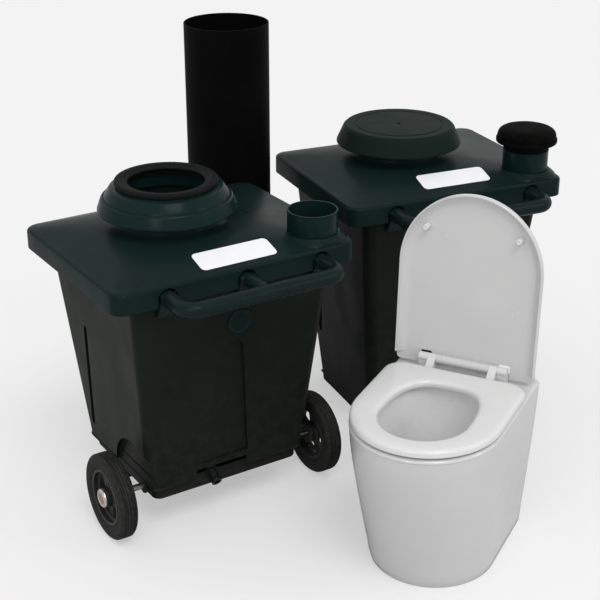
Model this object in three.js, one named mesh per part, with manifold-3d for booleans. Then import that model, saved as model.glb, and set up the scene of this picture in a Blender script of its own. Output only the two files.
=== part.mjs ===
// Composting toilet set: a wheeled container in use, a closed spare container,
// a drop pipe and a pedestal with its seat and lid.
// Millimetres, +Z up. The set is laid out in the wheeled container's own axes,
// with its wheel and handle side facing -Y, and then centred on its footprint.
import * as THREE from 'three';
import { mergeVertices } from 'three/addons/utils/BufferGeometryUtils.js';
import Module from 'manifold-3d';

const wasm = await Module();
wasm.setup();

// Clearances
const gap = 0.3;
const overrun = 20;
const softEdge = 2;
const cutSpan = 1000;

// Facet counts
const cornerSteps = 4;
const roundSides = 24;
const smallSides = 12;
const boltSides = 8;
const nutSides = 6;
const cutSegments = 3;
const dBackSteps = 3;
const dFrontSteps = 18;

// Container tank
const tankTop = 690;
const tankTopWidth = 541;
const tankTopDepth = 487;
const tankFootHeight = 130;
const tankFootWidth = 436;
const tankFootDepth = 366;
const tankWall = 4;
const tankCornerRadius = 36;
const tankFloorHeight = 152;
const tankFloorThickness = 4;
const spareFloorHeight = 16;
const flangeThickness = 6;
const flangeReachX = 41.5;
const flangeReachY = 10.5;
const flangePlay = 4;

// Shapes pressed into the tank walls
const recessTop = 500;
const recessBottom = 178;
const recessTopLeft = -31;
const recessTopRight = 22;
const recessBottomLeft = -96;
const recessBottomRight = 48;
const recessDepth = 6;
const slotOffset = 75;
const slotTop = 475;
const slotBottom = 175;
const slotWidth = 20;
const slotDepth = 8;
const archRadius = 125;
const archInset = 10;
const windowLeft = -95;
const windowRight = 45;
const windowTop = 151.5;
const floorHoleRadius = 6;
const floorHolePitch = 90;
const floorHolesAcross = 3;
const floorHolesDeep = 2;
const floorHoleSides = 6;

// Base tray under the wheeled tank
const trayPlay = 0.7;
const trayInsetY = 12;
const trayBottom = 92;
const trayWall = 4;
const trayCornerRadius = 22;
const trayWindowTop = 133;
const legWidth = 46;
const legDepth = 42;
const legInset = 24;

// Drain grate inside a tank
const grateHeight = 40;
const grateThickness = 5;
const grateMargin = 32;
const grateSlotWidth = 9;
const grateSlotLength = 70;
const grateSlotPitch = 48;
const grateSlotsAcross = 5;
const grateLegSize = 16;

// Container lid
const lidWall = 4;
const lidCornerRadius = 32;
const lidSkirtHeight = 50;
const lidEdgeRound = 8;
const lidRise = 43;
const lidSeatWidth = 58;
const neckX = -47;
const neckY = 12;
const neckRadius = 125;
const neckHeight = 43;
const ventX = 240;
const ventY = -183;
const ventBossFootRadius = 75;
const ventBossTopRadius = 66;
const ventBossRise = 16;
const ventBossSink = 8;
const ventSpigotRadius = 64;
const ventSocketDepth = 8;

// Vent socket and its cap
const ventRadius = 61;
const ventWall = 3.5;
const ventLength = 62;
const capRadius = 79;
const capHeight = 61;
const capWall = 4;
const capBead = 3;
const capHoodShares = [[0, 1], [0.6, 0.985], [0.86, 0.92], [0.97, 0.8], [1, 0.53]];
const capBeadShares = [[1, 0.5], [1, 0.34], [0.97, 0.29]];
const capInsideShares = [[0.94, 0.29], [0.94, 0.64], [0.78, 0.8]];
const capSpigotLength = 14;
const capWindowCount = 6;
const capWindowWidth = 16;
const capWindowHeight = 20;
const capWindowShare = 0.5;

// Inlet collar, its rubber seal and the closing cover
const collarDrop = 15;
const collarFootRadius = 167;
const collarShoulderRadius = 154;
const collarTopRadius = 121;
const collarBoreRadius = 112;
const collarHeight = 60;
const collarShoulderHeight = 33;
const collarWall = 4;
const sealRadius = 124;
const sealHoleRadius = 92;
const sealHeight = 14;
const sealLipDepth = 15;
const sealLipThickness = 5;
const sealRimShares = [[1, 0.3], [1, 0.75], [0.97, 1], [0.86, 0.94]];
const sealMouthShares = [0.6, 0.25];
const coverFootRadius = 170;
const coverTopRadius = 152;
const coverHeight = 50;
const coverLineRadius = 119;
const coverLineWidth = 4;
const coverLineDepth = 2.5;
const coverHoleRadius = 4;

// Label plate on the lid
const labelWidth = 200;
const labelDepth = 64;
const labelThickness = 1.2;
const labelCornerRadius = 12;
const labelX = 9;
const labelSetback = 52;
const spareLabelX = 12;
const spareLabelSetback = 70;

// Handle
const handleX = 12;
const handleDrop = 28;
const handleReach = 111;
const handleBarRadius = 19;
const handleArmRadius = 17;
const handleArmShare = 0.375;
const handleBend = 34;
const handleBendSteps = 3;
const handleSides = 12;
const handleArchPlay = 8;
const gussetWidth = 40;
const gussetDrop = 52;
const gussetFoot = 9;
const gussetReach = 26;
const boltHeadRadius = 9;
const boltHeadHeight = 4;
const boltRadius = 4;
const boltGrip = 6;
const boltDrop = 22;

// Round wall plug
const plugX = 8;
const plugDrop = 117;
const plugRadius = 33;
const plugRimWidth = 5;
const plugThickness = 5;
const plugStemRadius = 27;
const plugStemLength = 12;

// Drain spigot
const spigotX = -49;
const spigotHeight = 129;
const spigotTilt = 30;
const spigotFlangeRadius = 16;
const spigotFlangeThickness = 3;
const spigotRadius = 13.5;
const spigotBore = 8;
const spigotStemBore = 6.5;
const spigotLength = 35;
const spigotStemRadius = 10;
const spigotStemLength = 16;
const spigotRibRise = 1.5;
const spigotRibWidth = 5;
const spigotRibPitch = 28;

// Axle and wheels
const wheelRadius = 108;
const wheelX = 292;
const wheelY = -111;
const tyreWidth = 45;
const tyreBead = 72;
const tyreShoulder = 9;
const treadGrooveWidth = 3.5;
const treadGrooveDepth = 3;
const treadGroovePitch = 10;
const rimWidth = 38;
const rimRingThickness = 9;
const rimWebThickness = 8;
const hubRadius = 24;
const hubWidth = 44;
const spokeCount = 5;
const spokeHoleOuterMargin = 5;
const spokeHoleInnerMargin = 5;
const spokeWidthShare = 0.42;
const spokeFlareShare = 0.7;
const axleRadius = 8;
const hubCapRadius = 24;
const hubCapThickness = 8;
const hubCapShares = [[0, 1], [0.5, 0.94], [0.6, 0.75], [0.7, 0.94], [0.9, 0.5]];
const bushRadius = 13;
const bushFlangeRadius = 20;
const bushFlangeThickness = 5;

// Drop pipe
const pipeRadius = 113;
const pipeWall = 4;
const pipeLength = 1096;
const pipeX = 336;
const pipeY = 385;

// Spare container and pedestal places
const spareX = 779;
const spareY = 124;
const spareTurn = -8.8;
const pedestalX = 308;
const pedestalY = -599;
const pedestalTurn = -58;

// Pedestal shell
const pedestalHeight = 396;
const pedestalWidth = 350;
const pedestalDepth = 490;
const pedestalFootWidth = 300;
const pedestalFootDepth = 382;
const pedestalWall = 6;
const pedestalBackRadius = 16;
const pedestalFrontShare = 1.05;
const pedestalRimRound = 9;
const pedestalProfileShares = [[0, 0], [0.3, 0.36], [0.62, 0.71], [0.86, 0.93]];
const openingWidth = 236;
const openingFront = -208;
const openingBack = 108;

// Bowl insert
const bowlWall = 3;
const bowlFlangeWidth = 9;
const bowlFlangeThickness = 3;
const bowlOutletRadius = 104;
const bowlOutletY = -22;
const bowlOutletTop = 110;
const bowlBottom = 14;
const bowlWaist = 250;
const bowlWaistShare = 0.42;

// Seat ring, toilet lid and hinge
const hingeInset = 66;
const hingeHeight = 32;
const seatWidth = 346;
const seatFront = -244;
const seatBackSetback = 26;
const seatBackRadius = 44;
const seatUnderside = 6;
const seatThickness = 18;
const seatRound = 6;
const seatOpeningWidth = 206;
const seatOpeningFront = -191;
const seatOpeningBack = 84;
const openingFullnessShare = 0.7;
const toiletLidLength = 439;
const toiletLidOverhang = 22;
const toiletLidWall = 4;
const toiletLidDepth = 20;
const toiletLidBackRadius = 10;
const toiletLidRound = 6;
const toiletLidRise = 12;
const toiletLidSlopeWidth = 16;
const toiletLidLean = 3;
const knuckleRadius = 10.5;
const pinRadius = 4;
const lidBarrelHalf = 66;
const seatKnuckleWidth = 19;
const postWidth = 24;
const postFootDepth = 19;
const postPlay = 2;
const studRadius = 4;
const studLength = 20;
const hingeNutRadius = 11;
const hingeNutHeight = 8;
const bumperRadius = 8;
const seatBumperX = 132;
const seatBumperBack = 60;
const seatBumperFront = -125;
const lidBumperX = 112;
const lidBumperReach = 325;
const bumperTopShare = 0.8;

// Materials
const paint = (color, roughness, metalness = 0) =>
  new THREE.MeshStandardMaterial({ color, roughness, metalness });
const tankGreen = paint(0x0a120e, 0.5);
const lidGreen = paint(0x08130f, 0.32);
const handleGreen = paint(0x07120f, 0.36);
const trayBlack = paint(0x0b0d0c, 0.55);
const sealRubber = paint(0x080808, 0.7);
const capBlack = paint(0x0c0b0a, 0.75);
const pipeBlack = paint(0x0b0a0b, 0.6);
const tyreRubber = paint(0x141414, 0.8);
const rimGrey = paint(0x1b1c1d, 0.5);
const steel = paint(0xb9b2ac, 0.35, 1);
const labelWhite = paint(0xf2f2f0, 0.45);
const shellWhite = paint(0xe4e4e3, 0.28);
const seatWhite = paint(0xe0e0df, 0.25);
const hingeWhite = paint(0xe6e6e5, 0.35);
const bowlGrey = paint(0xcfcfce, 0.35);

// Solids: every closed geometry can become one, and be cut or joined
function solid(geometry) {
  const plain = geometry.clone();
  plain.deleteAttribute('normal');
  plain.deleteAttribute('uv');
  const merged = mergeVertices(plain);
  const vertProperties = new Float32Array(merged.attributes.position.array);
  const triVerts = new Uint32Array(merged.index.array);
  return new wasm.Manifold(new wasm.Mesh({ numProp: 3, vertProperties, triVerts }));
}

function geometryOf(body) {
  const mesh = body.getMesh();
  const geometry = new THREE.BufferGeometry();
  const position = new Float32Array(mesh.vertProperties);
  geometry.setAttribute('position', new THREE.BufferAttribute(position, 3));
  geometry.setIndex(new THREE.BufferAttribute(new Uint32Array(mesh.triVerts), 1));
  geometry.computeVertexNormals();
  return geometry;
}

// A skin joins rings of equal point counts and closes both ends
function skin(rings, endOutline) {
  const count = endOutline.length;
  const last = (rings.length - 1) * count;
  const positions = [];
  const index = [];
  for (const ring of rings) {
    for (const point of ring) positions.push(point.x, point.y, point.z);
  }
  for (let low = 0; low < last; low += count) {
    for (let i = 0; i < count; i += 1) {
      const next = (i + 1) % count;
      const high = low + count;
      index.push(low + i, low + next, high + next, low + i, high + next, high + i);
    }
  }
  for (const [a, b, c] of facesUp(endOutline)) index.push(a, c, b, last + a, last + b, last + c);
  const geometry = new THREE.BufferGeometry();
  geometry.setAttribute('position', new THREE.Float32BufferAttribute(positions, 3));
  geometry.setIndex(index);
  return geometry;
}

// A loft is a skin over level rings, lowest first
function loft(levels) {
  const rings = levels.map(({ points, z }) => points.map(({ x, y }) => new THREE.Vector3(x, y, z)));
  return skin(rings, levels[0].points);
}

function facesUp(points) {
  return THREE.ShapeUtils.triangulateShape(points, []).map(([a, b, c]) => {
    const area = THREE.ShapeUtils.area([points[a], points[b], points[c]]);
    return area > 0 ? [a, b, c] : [a, c, b];
  });
}

// Outlines, counterclockwise seen from above
function roundedRectangle(halfX, halfY, radius) {
  const points = [];
  for (let corner = 0; corner < 4; corner += 1) {
    const signX = corner === 0 || corner === 3 ? 1 : -1;
    const signY = corner < 2 ? 1 : -1;
    for (let step = 0; step <= cornerSteps; step += 1) {
      const angle = (corner + step / cornerSteps) * Math.PI / 2;
      const x = signX * (halfX - radius) + radius * Math.cos(angle);
      const y = signY * (halfY - radius) + radius * Math.sin(angle);
      points.push(new THREE.Vector2(x, y));
    }
  }
  return points;
}

function matchingCircle(radius, centreX, centreY) {
  const count = 4 * (cornerSteps + 1);
  return Array.from({ length: count }, (_, i) => {
    const angle = (i + 0.5) / count * 2 * Math.PI;
    return new THREE.Vector2(centreX + radius * Math.cos(angle), centreY + radius * Math.sin(angle));
  });
}

// D outline: flat back with rounded corners at +Y, half-ellipse front at -Y
function dOutline(halfWidth, back, front, backRadius, frontShare = pedestalFrontShare) {
  const points = [];
  const frontDepth = halfWidth * frontShare;
  for (const side of [1, -1]) {
    for (let step = 0; step <= dBackSteps; step += 1) {
      const turn = step / dBackSteps * Math.PI / 2;
      const angle = side > 0 ? turn : Math.PI / 2 + turn;
      const x = side * (halfWidth - backRadius) + backRadius * Math.cos(angle);
      const y = back - backRadius + backRadius * Math.sin(angle);
      points.push(new THREE.Vector2(x, y));
    }
  }
  for (let step = 0; step <= dFrontSteps; step += 1) {
    const angle = Math.PI + step / dFrontSteps * Math.PI;
    const y = front + frontDepth + frontDepth * Math.sin(angle);
    points.push(new THREE.Vector2(halfWidth * Math.cos(angle), y));
  }
  return points;
}

// An egg-shaped or round outline with as many points as the D outline; a share below one squares its back
function eggOutline(halfWidth, back, front, middle = front + halfWidth * pedestalFrontShare, backShare = 1) {
  const rounded = (value, share) => Math.sign(value) * Math.abs(value) ** share;
  const backCount = 2 * (dBackSteps + 1);
  const backAngles = Array.from({ length: backCount }, (_, i) => (i + 0.5) / backCount * Math.PI);
  const frontAngles = Array.from({ length: dFrontSteps + 1 }, (_, i) => Math.PI * (1 + i / dFrontSteps));
  return [...backAngles, ...frontAngles].map((angle) => {
    const behind = Math.sin(angle) > 0;
    const reach = behind ? back - middle : middle - front;
    const share = behind ? backShare : 1;
    const x = halfWidth * rounded(Math.cos(angle), share);
    return new THREE.Vector2(x, middle + reach * rounded(Math.sin(angle), share));
  });
}

function box(sizeX, sizeY, sizeZ, x, y, z) {
  return new THREE.BoxGeometry(sizeX, sizeY, sizeZ).translate(x, y, z);
}

function upright(radiusTop, radiusBottom, bottom, top, sides = roundSides, x = 0, y = 0) {
  const geometry = new THREE.CylinderGeometry(radiusTop, radiusBottom, top - bottom, sides);
  return geometry.rotateX(Math.PI / 2).translate(x, y, (top + bottom) / 2);
}

// A turned body from a closed profile of [radius, height] pairs
function turned(profile, sides = roundSides) {
  const points = profile.map(([radius, height]) => new THREE.Vector2(radius, height));
  if (profile[0][0] > 0) points.push(points[0].clone());
  if (THREE.ShapeUtils.area(points) < 0) points.reverse();
  return solid(new THREE.LatheGeometry(points, sides).rotateX(Math.PI / 2));
}

function slab(shape, depth) {
  return new THREE.ExtrudeGeometry(shape, { depth, bevelEnabled: false, curveSegments: cutSegments });
}

function prism(points, depth) {
  return slab(new THREE.Shape(points.map(([x, y]) => new THREE.Vector2(x, y))), depth);
}

// A flat plate with the given outline
function plate(outline, bottom, top) {
  return solid(loft([{ z: bottom, points: outline }, { z: top, points: outline }]));
}

// Cuts a body to the heights between two levels
function between(body, bottom, top) {
  return body.intersect(solid(box(cutSpan, cutSpan, top - bottom, 0, 0, (top + bottom) / 2)));
}

// Outline of the openings in the deck, the bowl's rim and the seat
function mouthOutline(halfWidth, back, front) {
  return eggOutline(halfWidth, back, front, front + halfWidth * pedestalFrontShare, openingFullnessShare);
}

const radians = THREE.MathUtils.degToRad;

// Bore radius whose facets stay clear of a round piece of the given radius
function around(radius, sides = roundSides) {
  return radius / Math.cos(Math.PI / sides) + gap;
}

// Heights and tapers that several pieces share
const taperX = (tankTopWidth - tankFootWidth) / 2 / (tankTop - tankFootHeight);
const taperY = (tankTopDepth - tankFootDepth) / 2 / (tankTop - tankFootHeight);
const halfWidthAt = (z) => tankFootWidth / 2 + taperX * (z - tankFootHeight);
const halfDepthAt = (z) => tankFootDepth / 2 + taperY * (z - tankFootHeight);
const wallTiltX = Math.atan(taperX);
const wallTiltY = Math.atan(taperY);
const flangeX = tankTopWidth / 2 + flangeReachX;
const flangeY = tankTopDepth / 2 + flangeReachY;
const lidWidth = 2 * (flangeX + flangePlay + lidWall);
const lidDepth = 2 * (flangeY + flangePlay + lidWall);
const handleHeight = tankTop - handleDrop;
const handleArmSpacing = tankTopWidth * handleArmShare;
const gussetBottom = handleHeight - gussetDrop;
const boltHeight = handleHeight - boltDrop;
const plugHeight = handleHeight - plugDrop;
const lidSeat = tankTop + gap;
const rimTop = lidSeat + lidWall;
const skirtBottom = rimTop - lidSkirtHeight;
const neckBase = rimTop + lidRise;
const neckTop = neckBase + neckHeight;
const lidSlope = Math.atan(lidRise / (lidDepth / 2 - lidEdgeRound + neckY - neckRadius));

// Tank: tapered hull with a rim flange, pressed recesses, slots and arches
function hullRings(bottom, top, inset) {
  return [bottom, top].map((z) => ({
    z,
    points: roundedRectangle(halfWidthAt(z) - inset, halfDepthAt(z) - inset, tankCornerRadius - inset),
  }));
}

function recessSolid(grow) {
  const radius = (recessTopRight - recessTopLeft) / 2 + grow;
  const middle = (recessTopRight + recessTopLeft) / 2;
  const springing = recessTop - radius + grow;
  const shape = new THREE.Shape();
  shape.moveTo(recessBottomLeft - grow, recessBottom - grow);
  shape.lineTo(recessBottomRight + grow, recessBottom - grow);
  shape.lineTo(middle + radius, springing);
  shape.absarc(middle, springing, radius, 0, Math.PI, false);
  const depth = recessDepth + grow + overrun;
  const geometry = slab(shape, depth);
  geometry.rotateX(Math.PI / 2).translate(0, overrun, -tankFootHeight);
  geometry.translate(0, recessDepth + grow - overrun, 0);
  geometry.rotateX(wallTiltY).translate(0, -tankFootDepth / 2, tankFootHeight);
  return solid(geometry);
}

function slotSolid(side, grow) {
  const radius = slotWidth / 2 + grow;
  const shape = new THREE.Shape();
  shape.absarc(slotOffset, slotTop - slotWidth / 2 - tankFootHeight, radius, 0, Math.PI, false);
  shape.absarc(slotOffset, slotBottom + slotWidth / 2 - tankFootHeight, radius, Math.PI, 2 * Math.PI, false);
  const depth = slotDepth + grow + overrun;
  const geometry = slab(shape, depth);
  geometry.rotateX(Math.PI / 2).rotateZ(Math.PI / 2).translate(-slotDepth - grow, 0, 0);
  geometry.rotateY(wallTiltX).translate(tankFootWidth / 2, 0, tankFootHeight);
  const body = solid(geometry);
  return side > 0 ? body : body.mirror([1, 0, 0]);
}

function archSolid(side, grow) {
  const floorX = tankFootWidth / 2 - archInset - grow;
  const geometry = new THREE.CylinderGeometry(archRadius + grow, archRadius + grow, archRadius, roundSides);
  geometry.rotateZ(Math.PI / 2).translate(side * (floorX + archRadius / 2), wheelY, wheelRadius);
  return solid(geometry);
}

function pressedShapes(grow, hasWheels) {
  const shapes = [recessSolid(grow), slotSolid(1, grow), slotSolid(-1, grow)];
  if (hasWheels) shapes.push(archSolid(1, grow), archSolid(-1, grow));
  return shapes;
}

function tank(bottom, floorHeight, hasWheels) {
  let outer = solid(loft(hullRings(bottom, tankTop, 0)));
  let hollow = solid(loft(hullRings(floorHeight + tankFloorThickness, tankTop + overrun, tankWall)));
  let under = solid(loft(hullRings(bottom - overrun, floorHeight, tankWall)));
  for (const shape of pressedShapes(0, hasWheels)) outer = outer.subtract(shape);
  for (const shape of pressedShapes(tankWall, hasWheels)) {
    hollow = hollow.subtract(shape);
    under = under.subtract(shape);
  }
  const flangeOutline = roundedRectangle(flangeX, flangeY, lidCornerRadius - lidWall);
  const flange = plate(flangeOutline, tankTop - flangeThickness, tankTop);
  let body = outer.add(flange).subtract(hollow).subtract(under);
  body = body.subtract(wallHole(plugX, plugHeight, plugStemRadius + gap, smallSides));
  for (const offset of handleOffsets()) {
    body = body.subtract(wallHole(handleX + offset, boltHeight, boltRadius + gap, boltSides));
  }
  if (!hasWheels) return body;
  const windowWidth = windowRight - windowLeft;
  const windowHeight = windowTop - bottom + overrun;
  const windowDepth = tankWall + tankCornerRadius;
  const windowY = -halfDepthAt(windowTop) + tankWall / 2;
  body = body.subtract(solid(box(windowWidth, windowDepth, windowHeight,
    (windowLeft + windowRight) / 2, windowY, windowTop - windowHeight / 2)));
  return body.subtract(floorHoles(floorHeight));
}

function floorHoles(floorHeight) {
  let holes = null;
  for (let column = 0; column < floorHolesAcross; column += 1) {
    for (let row = 0; row < floorHolesDeep; row += 1) {
      const x = (column - (floorHolesAcross - 1) / 2) * floorHolePitch;
      const y = (row - (floorHolesDeep - 1) / 2) * floorHolePitch;
      const hole = solid(upright(floorHoleRadius, floorHoleRadius, floorHeight - overrun,
        floorHeight + tankFloorThickness + overrun, floorHoleSides, x, y));
      holes = holes ? holes.add(hole) : hole;
    }
  }
  return holes;
}

// Places a body made along +Z so that it stands square on the front wall
function ontoWall(geometry, x, z, depth = halfDepthAt(z)) {
  return geometry.rotateX(Math.PI / 2 + wallTiltY).translate(x, -depth, z);
}

function wallHole(x, z, radius, sides) {
  return solid(ontoWall(upright(radius, radius, -overrun, overrun, sides), x, z));
}

function handleOffsets() {
  return [-handleArmSpacing, 0, handleArmSpacing];
}

// Base tray that carries the tank, the axle and the drain spigot
function trayHalf() {
  return [tankFootWidth / 2 - archInset - tankWall - trayPlay, tankFootDepth / 2 - trayInsetY];
}

function tray() {
  const [halfX, halfY] = trayHalf();
  const top = tankFloorHeight - gap;
  const outline = roundedRectangle(halfX, halfY, trayCornerRadius);
  const inner = roundedRectangle(halfX - trayWall, halfY - trayWall, trayCornerRadius - trayWall);
  let body = plate(outline, trayBottom, top).subtract(plate(inner, trayBottom + trayWall, top + overrun));
  const notchWidth = windowRight - windowLeft + 2 * legInset;
  const notchHeight = top - trayWindowTop + overrun;
  body = body.subtract(solid(box(notchWidth, trayCornerRadius, notchHeight,
    (windowLeft + windowRight) / 2, -halfY, trayWindowTop + notchHeight / 2)));
  const bushHole = new THREE.CylinderGeometry(bushRadius + gap, bushRadius + gap, tankFootWidth, smallSides);
  body = body.subtract(solid(bushHole.rotateZ(Math.PI / 2).translate(0, wheelY, wheelRadius)));
  for (const side of [-1, 1]) {
    const legHeight = trayBottom + trayWall / 2;
    const legX = side * (halfX - legInset - legWidth / 2);
    const leg = box(legWidth, legDepth, legHeight, legX, halfY - legInset - legDepth / 2, legHeight / 2);
    body = body.add(solid(leg));
  }
  const hole = upright(spigotStemRadius + gap, spigotStemRadius + gap, -overrun, overrun, smallSides);
  hole.rotateX(Math.PI / 2).translate(spigotX, -halfY, spigotHeight);
  return body.subtract(solid(hole));
}

// Raised grate that keeps the drain clear
function grate(floorTop) {
  const plateZ = floorTop + grateHeight;
  const halfX = tankFootWidth / 2 - archInset - tankWall - grateMargin;
  const halfY = tankFootDepth / 2 - recessDepth - tankWall - grateMargin;
  const outline = roundedRectangle(halfX, halfY, grateMargin);
  let body = plate(outline, plateZ, plateZ + grateThickness);
  for (const signX of [-1, 1]) {
    for (const signY of [-1, 1]) {
      const legHeight = grateHeight - gap + grateThickness / 2;
      const leg = box(grateLegSize, grateLegSize, legHeight, signX * (halfX - grateLegSize),
        signY * (halfY - grateLegSize), floorTop + gap + legHeight / 2);
      body = body.add(solid(leg));
    }
  }
  for (let column = 0; column < grateSlotsAcross; column += 1) {
    for (const signY of [-1, 1]) {
      const x = (column - (grateSlotsAcross - 1) / 2) * grateSlotPitch;
      const y = signY * (grateSlotLength + grateSlotWidth) / 2;
      body = body.subtract(solid(box(grateSlotWidth, grateSlotLength, overrun, x, y, plateZ)));
    }
  }
  return body;
}

// Lid: skirt, low pyramid running up to a round opening, neck tube and vent boss
function lidOutline(inset, radius) {
  return roundedRectangle(lidWidth / 2 - inset, lidDepth / 2 - inset, radius);
}

function lidOuter() {
  const softX = lidEdgeRound * (1 - Math.SQRT1_2);
  return solid(loft([
    { z: skirtBottom, points: lidOutline(0, lidCornerRadius) },
    { z: rimTop - lidEdgeRound, points: lidOutline(0, lidCornerRadius) },
    { z: rimTop - softX, points: lidOutline(softX, lidCornerRadius) },
    { z: rimTop, points: lidOutline(lidEdgeRound, lidCornerRadius) },
    { z: neckBase, points: matchingCircle(neckRadius, neckX, neckY) },
  ]));
}

function lidRoof() {
  const hollow = solid(loft([
    { z: lidSeat - overrun, points: lidOutline(lidSeatWidth, lidCornerRadius) },
    { z: lidSeat, points: lidOutline(lidSeatWidth, lidCornerRadius) },
    { z: neckBase - lidWall, points: matchingCircle(neckRadius - lidWall, neckX, neckY) },
    { z: neckBase + overrun, points: matchingCircle(neckRadius - lidWall, neckX, neckY) },
  ]));
  const hole = around(ventSpigotRadius);
  return between(lidOuter(), lidSeat, neckBase).subtract(hollow)
    .subtract(ventColumn(hole, hole, lidSeat - overrun, neckBase));
}

function lidSkirt() {
  const inner = plate(lidOutline(lidWall, lidCornerRadius - lidWall), skirtBottom - overrun, rimTop);
  let body = between(lidOuter(), skirtBottom, lidSeat - gap).subtract(inner);
  for (const offset of handleOffsets()) body = body.subtract(skirtArch(handleX + offset));
  return body;
}

function lidNeck() {
  return turned([
    [neckRadius - lidWall, neckBase + gap],
    [neckRadius, neckBase + gap],
    [neckRadius, neckTop],
    [neckRadius - lidWall, neckTop],
  ]);
}

// Boss that sits on the lid round its vent hole and takes the vent socket
function ventBoss() {
  const foot = ventSeat() - ventBossSink;
  const top = ventSeat() + ventSocketDepth;
  const slope = lidOuter().translate([0, 0, gap / Math.cos(lidSlope)]);
  let body = ventColumn(ventBossTopRadius, ventBossFootRadius, foot, top).subtract(slope);
  body = body.add(ventColumn(ventSpigotRadius, ventSpigotRadius, foot, top));
  const bore = ventRadius - ventWall;
  body = body.subtract(ventColumn(bore, bore, foot - overrun, top + overrun));
  const socket = ventRadius + gap;
  return body.subtract(ventColumn(socket, socket, ventSeat(), top + overrun));
}

function ventColumn(radiusTop, radiusBottom, bottom, top) {
  return solid(upright(radiusTop, radiusBottom, bottom, top, roundSides, ventX, ventY));
}

function ventSeat() {
  return rimTop + ventBossRise - ventSocketDepth;
}

function skirtArch(x) {
  const radius = handleArmRadius + handleArchPlay;
  const shape = new THREE.Shape();
  shape.moveTo(-radius, skirtBottom - overrun);
  shape.lineTo(radius, skirtBottom - overrun);
  shape.absarc(0, handleHeight, radius, 0, Math.PI, false);
  const depth = lidCornerRadius + overrun;
  const geometry = slab(shape, depth);
  return solid(geometry.rotateX(Math.PI / 2).translate(x, -lidDepth / 2 + lidCornerRadius, 0));
}

function ventSocket() {
  return turned([
    [ventRadius - ventWall, 0],
    [ventRadius, 0],
    [ventRadius, ventLength],
    [ventRadius - ventWall, ventLength],
  ]);
}

// Hooded cap on a short tube that plugs into the vent socket and breathes through a ring of openings
function capInside() {
  return capInsideShares.map(([wide, high]) => [wide * capRadius, high * capHeight]);
}

function capCeiling() {
  const inside = capInside();
  return inside[inside.length - 1][1];
}

function ventCap() {
  const scaled = (shares, radius) => shares.map(([wide, high]) => [wide * radius, high * capHeight]);
  return turned([
    ...scaled(capHoodShares, capRadius),
    ...scaled(capBeadShares, capRadius + capBead),
    ...capInside(),
    [0, capCeiling()],
  ]);
}

function ventCapTube() {
  const plug = ventRadius - ventWall - gap;
  const inset = plug - capWall;
  const top = capCeiling() - gap;
  let body = turned([
    [ventRadius, top],
    [ventRadius, gap],
    [plug, gap],
    [plug, -capSpigotLength],
    [inset, -capSpigotLength],
    [inset, top],
  ]);
  for (let i = 0; i < capWindowCount; i += 1) {
    const opening = box(overrun, capWindowWidth, capWindowHeight, ventRadius, 0, capHeight * capWindowShare);
    opening.rotateZ(i / capWindowCount * 2 * Math.PI);
    body = body.subtract(solid(opening));
  }
  return body;
}

// Inlet collar over the neck, hollow under its sloping skirt
function collar() {
  const foot = -collarDrop;
  const top = collarHeight - collarDrop;
  const shoulder = foot + collarShoulderHeight;
  const grip = around(neckRadius);
  const gripOut = grip + collarWall;
  return turned([
    [collarBoreRadius, gap],
    [grip, gap],
    [grip, foot],
    [gripOut, foot],
    [gripOut, top - 2 * collarWall],
    [collarShoulderRadius - 4 * collarWall, top - 3 * collarWall],
    [collarShoulderRadius - collarWall, shoulder - collarWall / 2],
    [collarFootRadius - collarWall, foot],
    [collarFootRadius, foot],
    [collarFootRadius, foot + collarWall],
    [collarShoulderRadius + collarWall / 2, shoulder],
    [collarShoulderRadius - collarWall, shoulder + 2 * collarWall],
    [collarTopRadius + 3 * collarWall, top - collarWall / 2],
    [collarTopRadius, top],
    [collarBoreRadius, top],
  ]);
}

function seal() {
  const lip = collarBoreRadius - gap;
  return turned([
    [lip, -sealLipDepth],
    [lip, gap],
    [sealRadius - softEdge, gap],
    ...sealRimShares.map(([wide, high]) => [wide * sealRadius, high * sealHeight]),
    ...sealMouthShares.map((high) => [sealHoleRadius, high * sealHeight]),
    [lip - sealLipThickness, -softEdge],
    [lip - sealLipThickness, -sealLipDepth],
  ]);
}

// Closing cover of the spare container
function closingCover() {
  const foot = -collarDrop;
  const top = coverHeight - collarDrop;
  const grip = around(neckRadius);
  const gripOut = grip + collarWall;
  const shelf = grip - 2 * collarWall;
  return turned([
    [coverHoleRadius, top - collarWall],
    [shelf, top - collarWall],
    [shelf, gap],
    [grip, gap],
    [grip, foot],
    [gripOut, foot],
    [gripOut, top - collarWall],
    [coverTopRadius - 2 * collarWall, top - collarWall],
    [coverTopRadius - collarWall, top - 2 * collarWall],
    [coverFootRadius - collarWall, foot],
    [coverFootRadius, foot],
    [coverFootRadius, foot + collarWall],
    [coverTopRadius, top - collarWall],
    [coverTopRadius - collarWall, top],
    [coverLineRadius + coverLineWidth / 2, top],
    [coverLineRadius, top - coverLineDepth],
    [coverLineRadius - coverLineWidth / 2, top],
    [coverHoleRadius, top],
  ]);
}

function label() {
  const outline = roundedRectangle(labelWidth / 2, labelDepth / 2, labelCornerRadius);
  return plate(outline, gap, gap + labelThickness);
}

// Handle: one bent tube with a middle arm, and a gusset under each arm
function handlePath() {
  const wallY = -halfDepthAt(handleHeight + handleArmRadius) - gap;
  const barY = -halfDepthAt(handleHeight) - handleReach;
  const half = [new THREE.Vector2(handleArmSpacing, wallY)];
  for (let step = 0; step <= handleBendSteps; step += 1) {
    const angle = step / handleBendSteps * Math.PI / 2;
    const x = handleArmSpacing - handleBend + handleBend * Math.cos(angle);
    half.push(new THREE.Vector2(x, barY + handleBend - handleBend * Math.sin(angle)));
  }
  const other = half.map(({ x, y }) => new THREE.Vector2(-x, y)).reverse();
  return { wallY, barY, points: [...half, ...other] };
}

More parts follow.
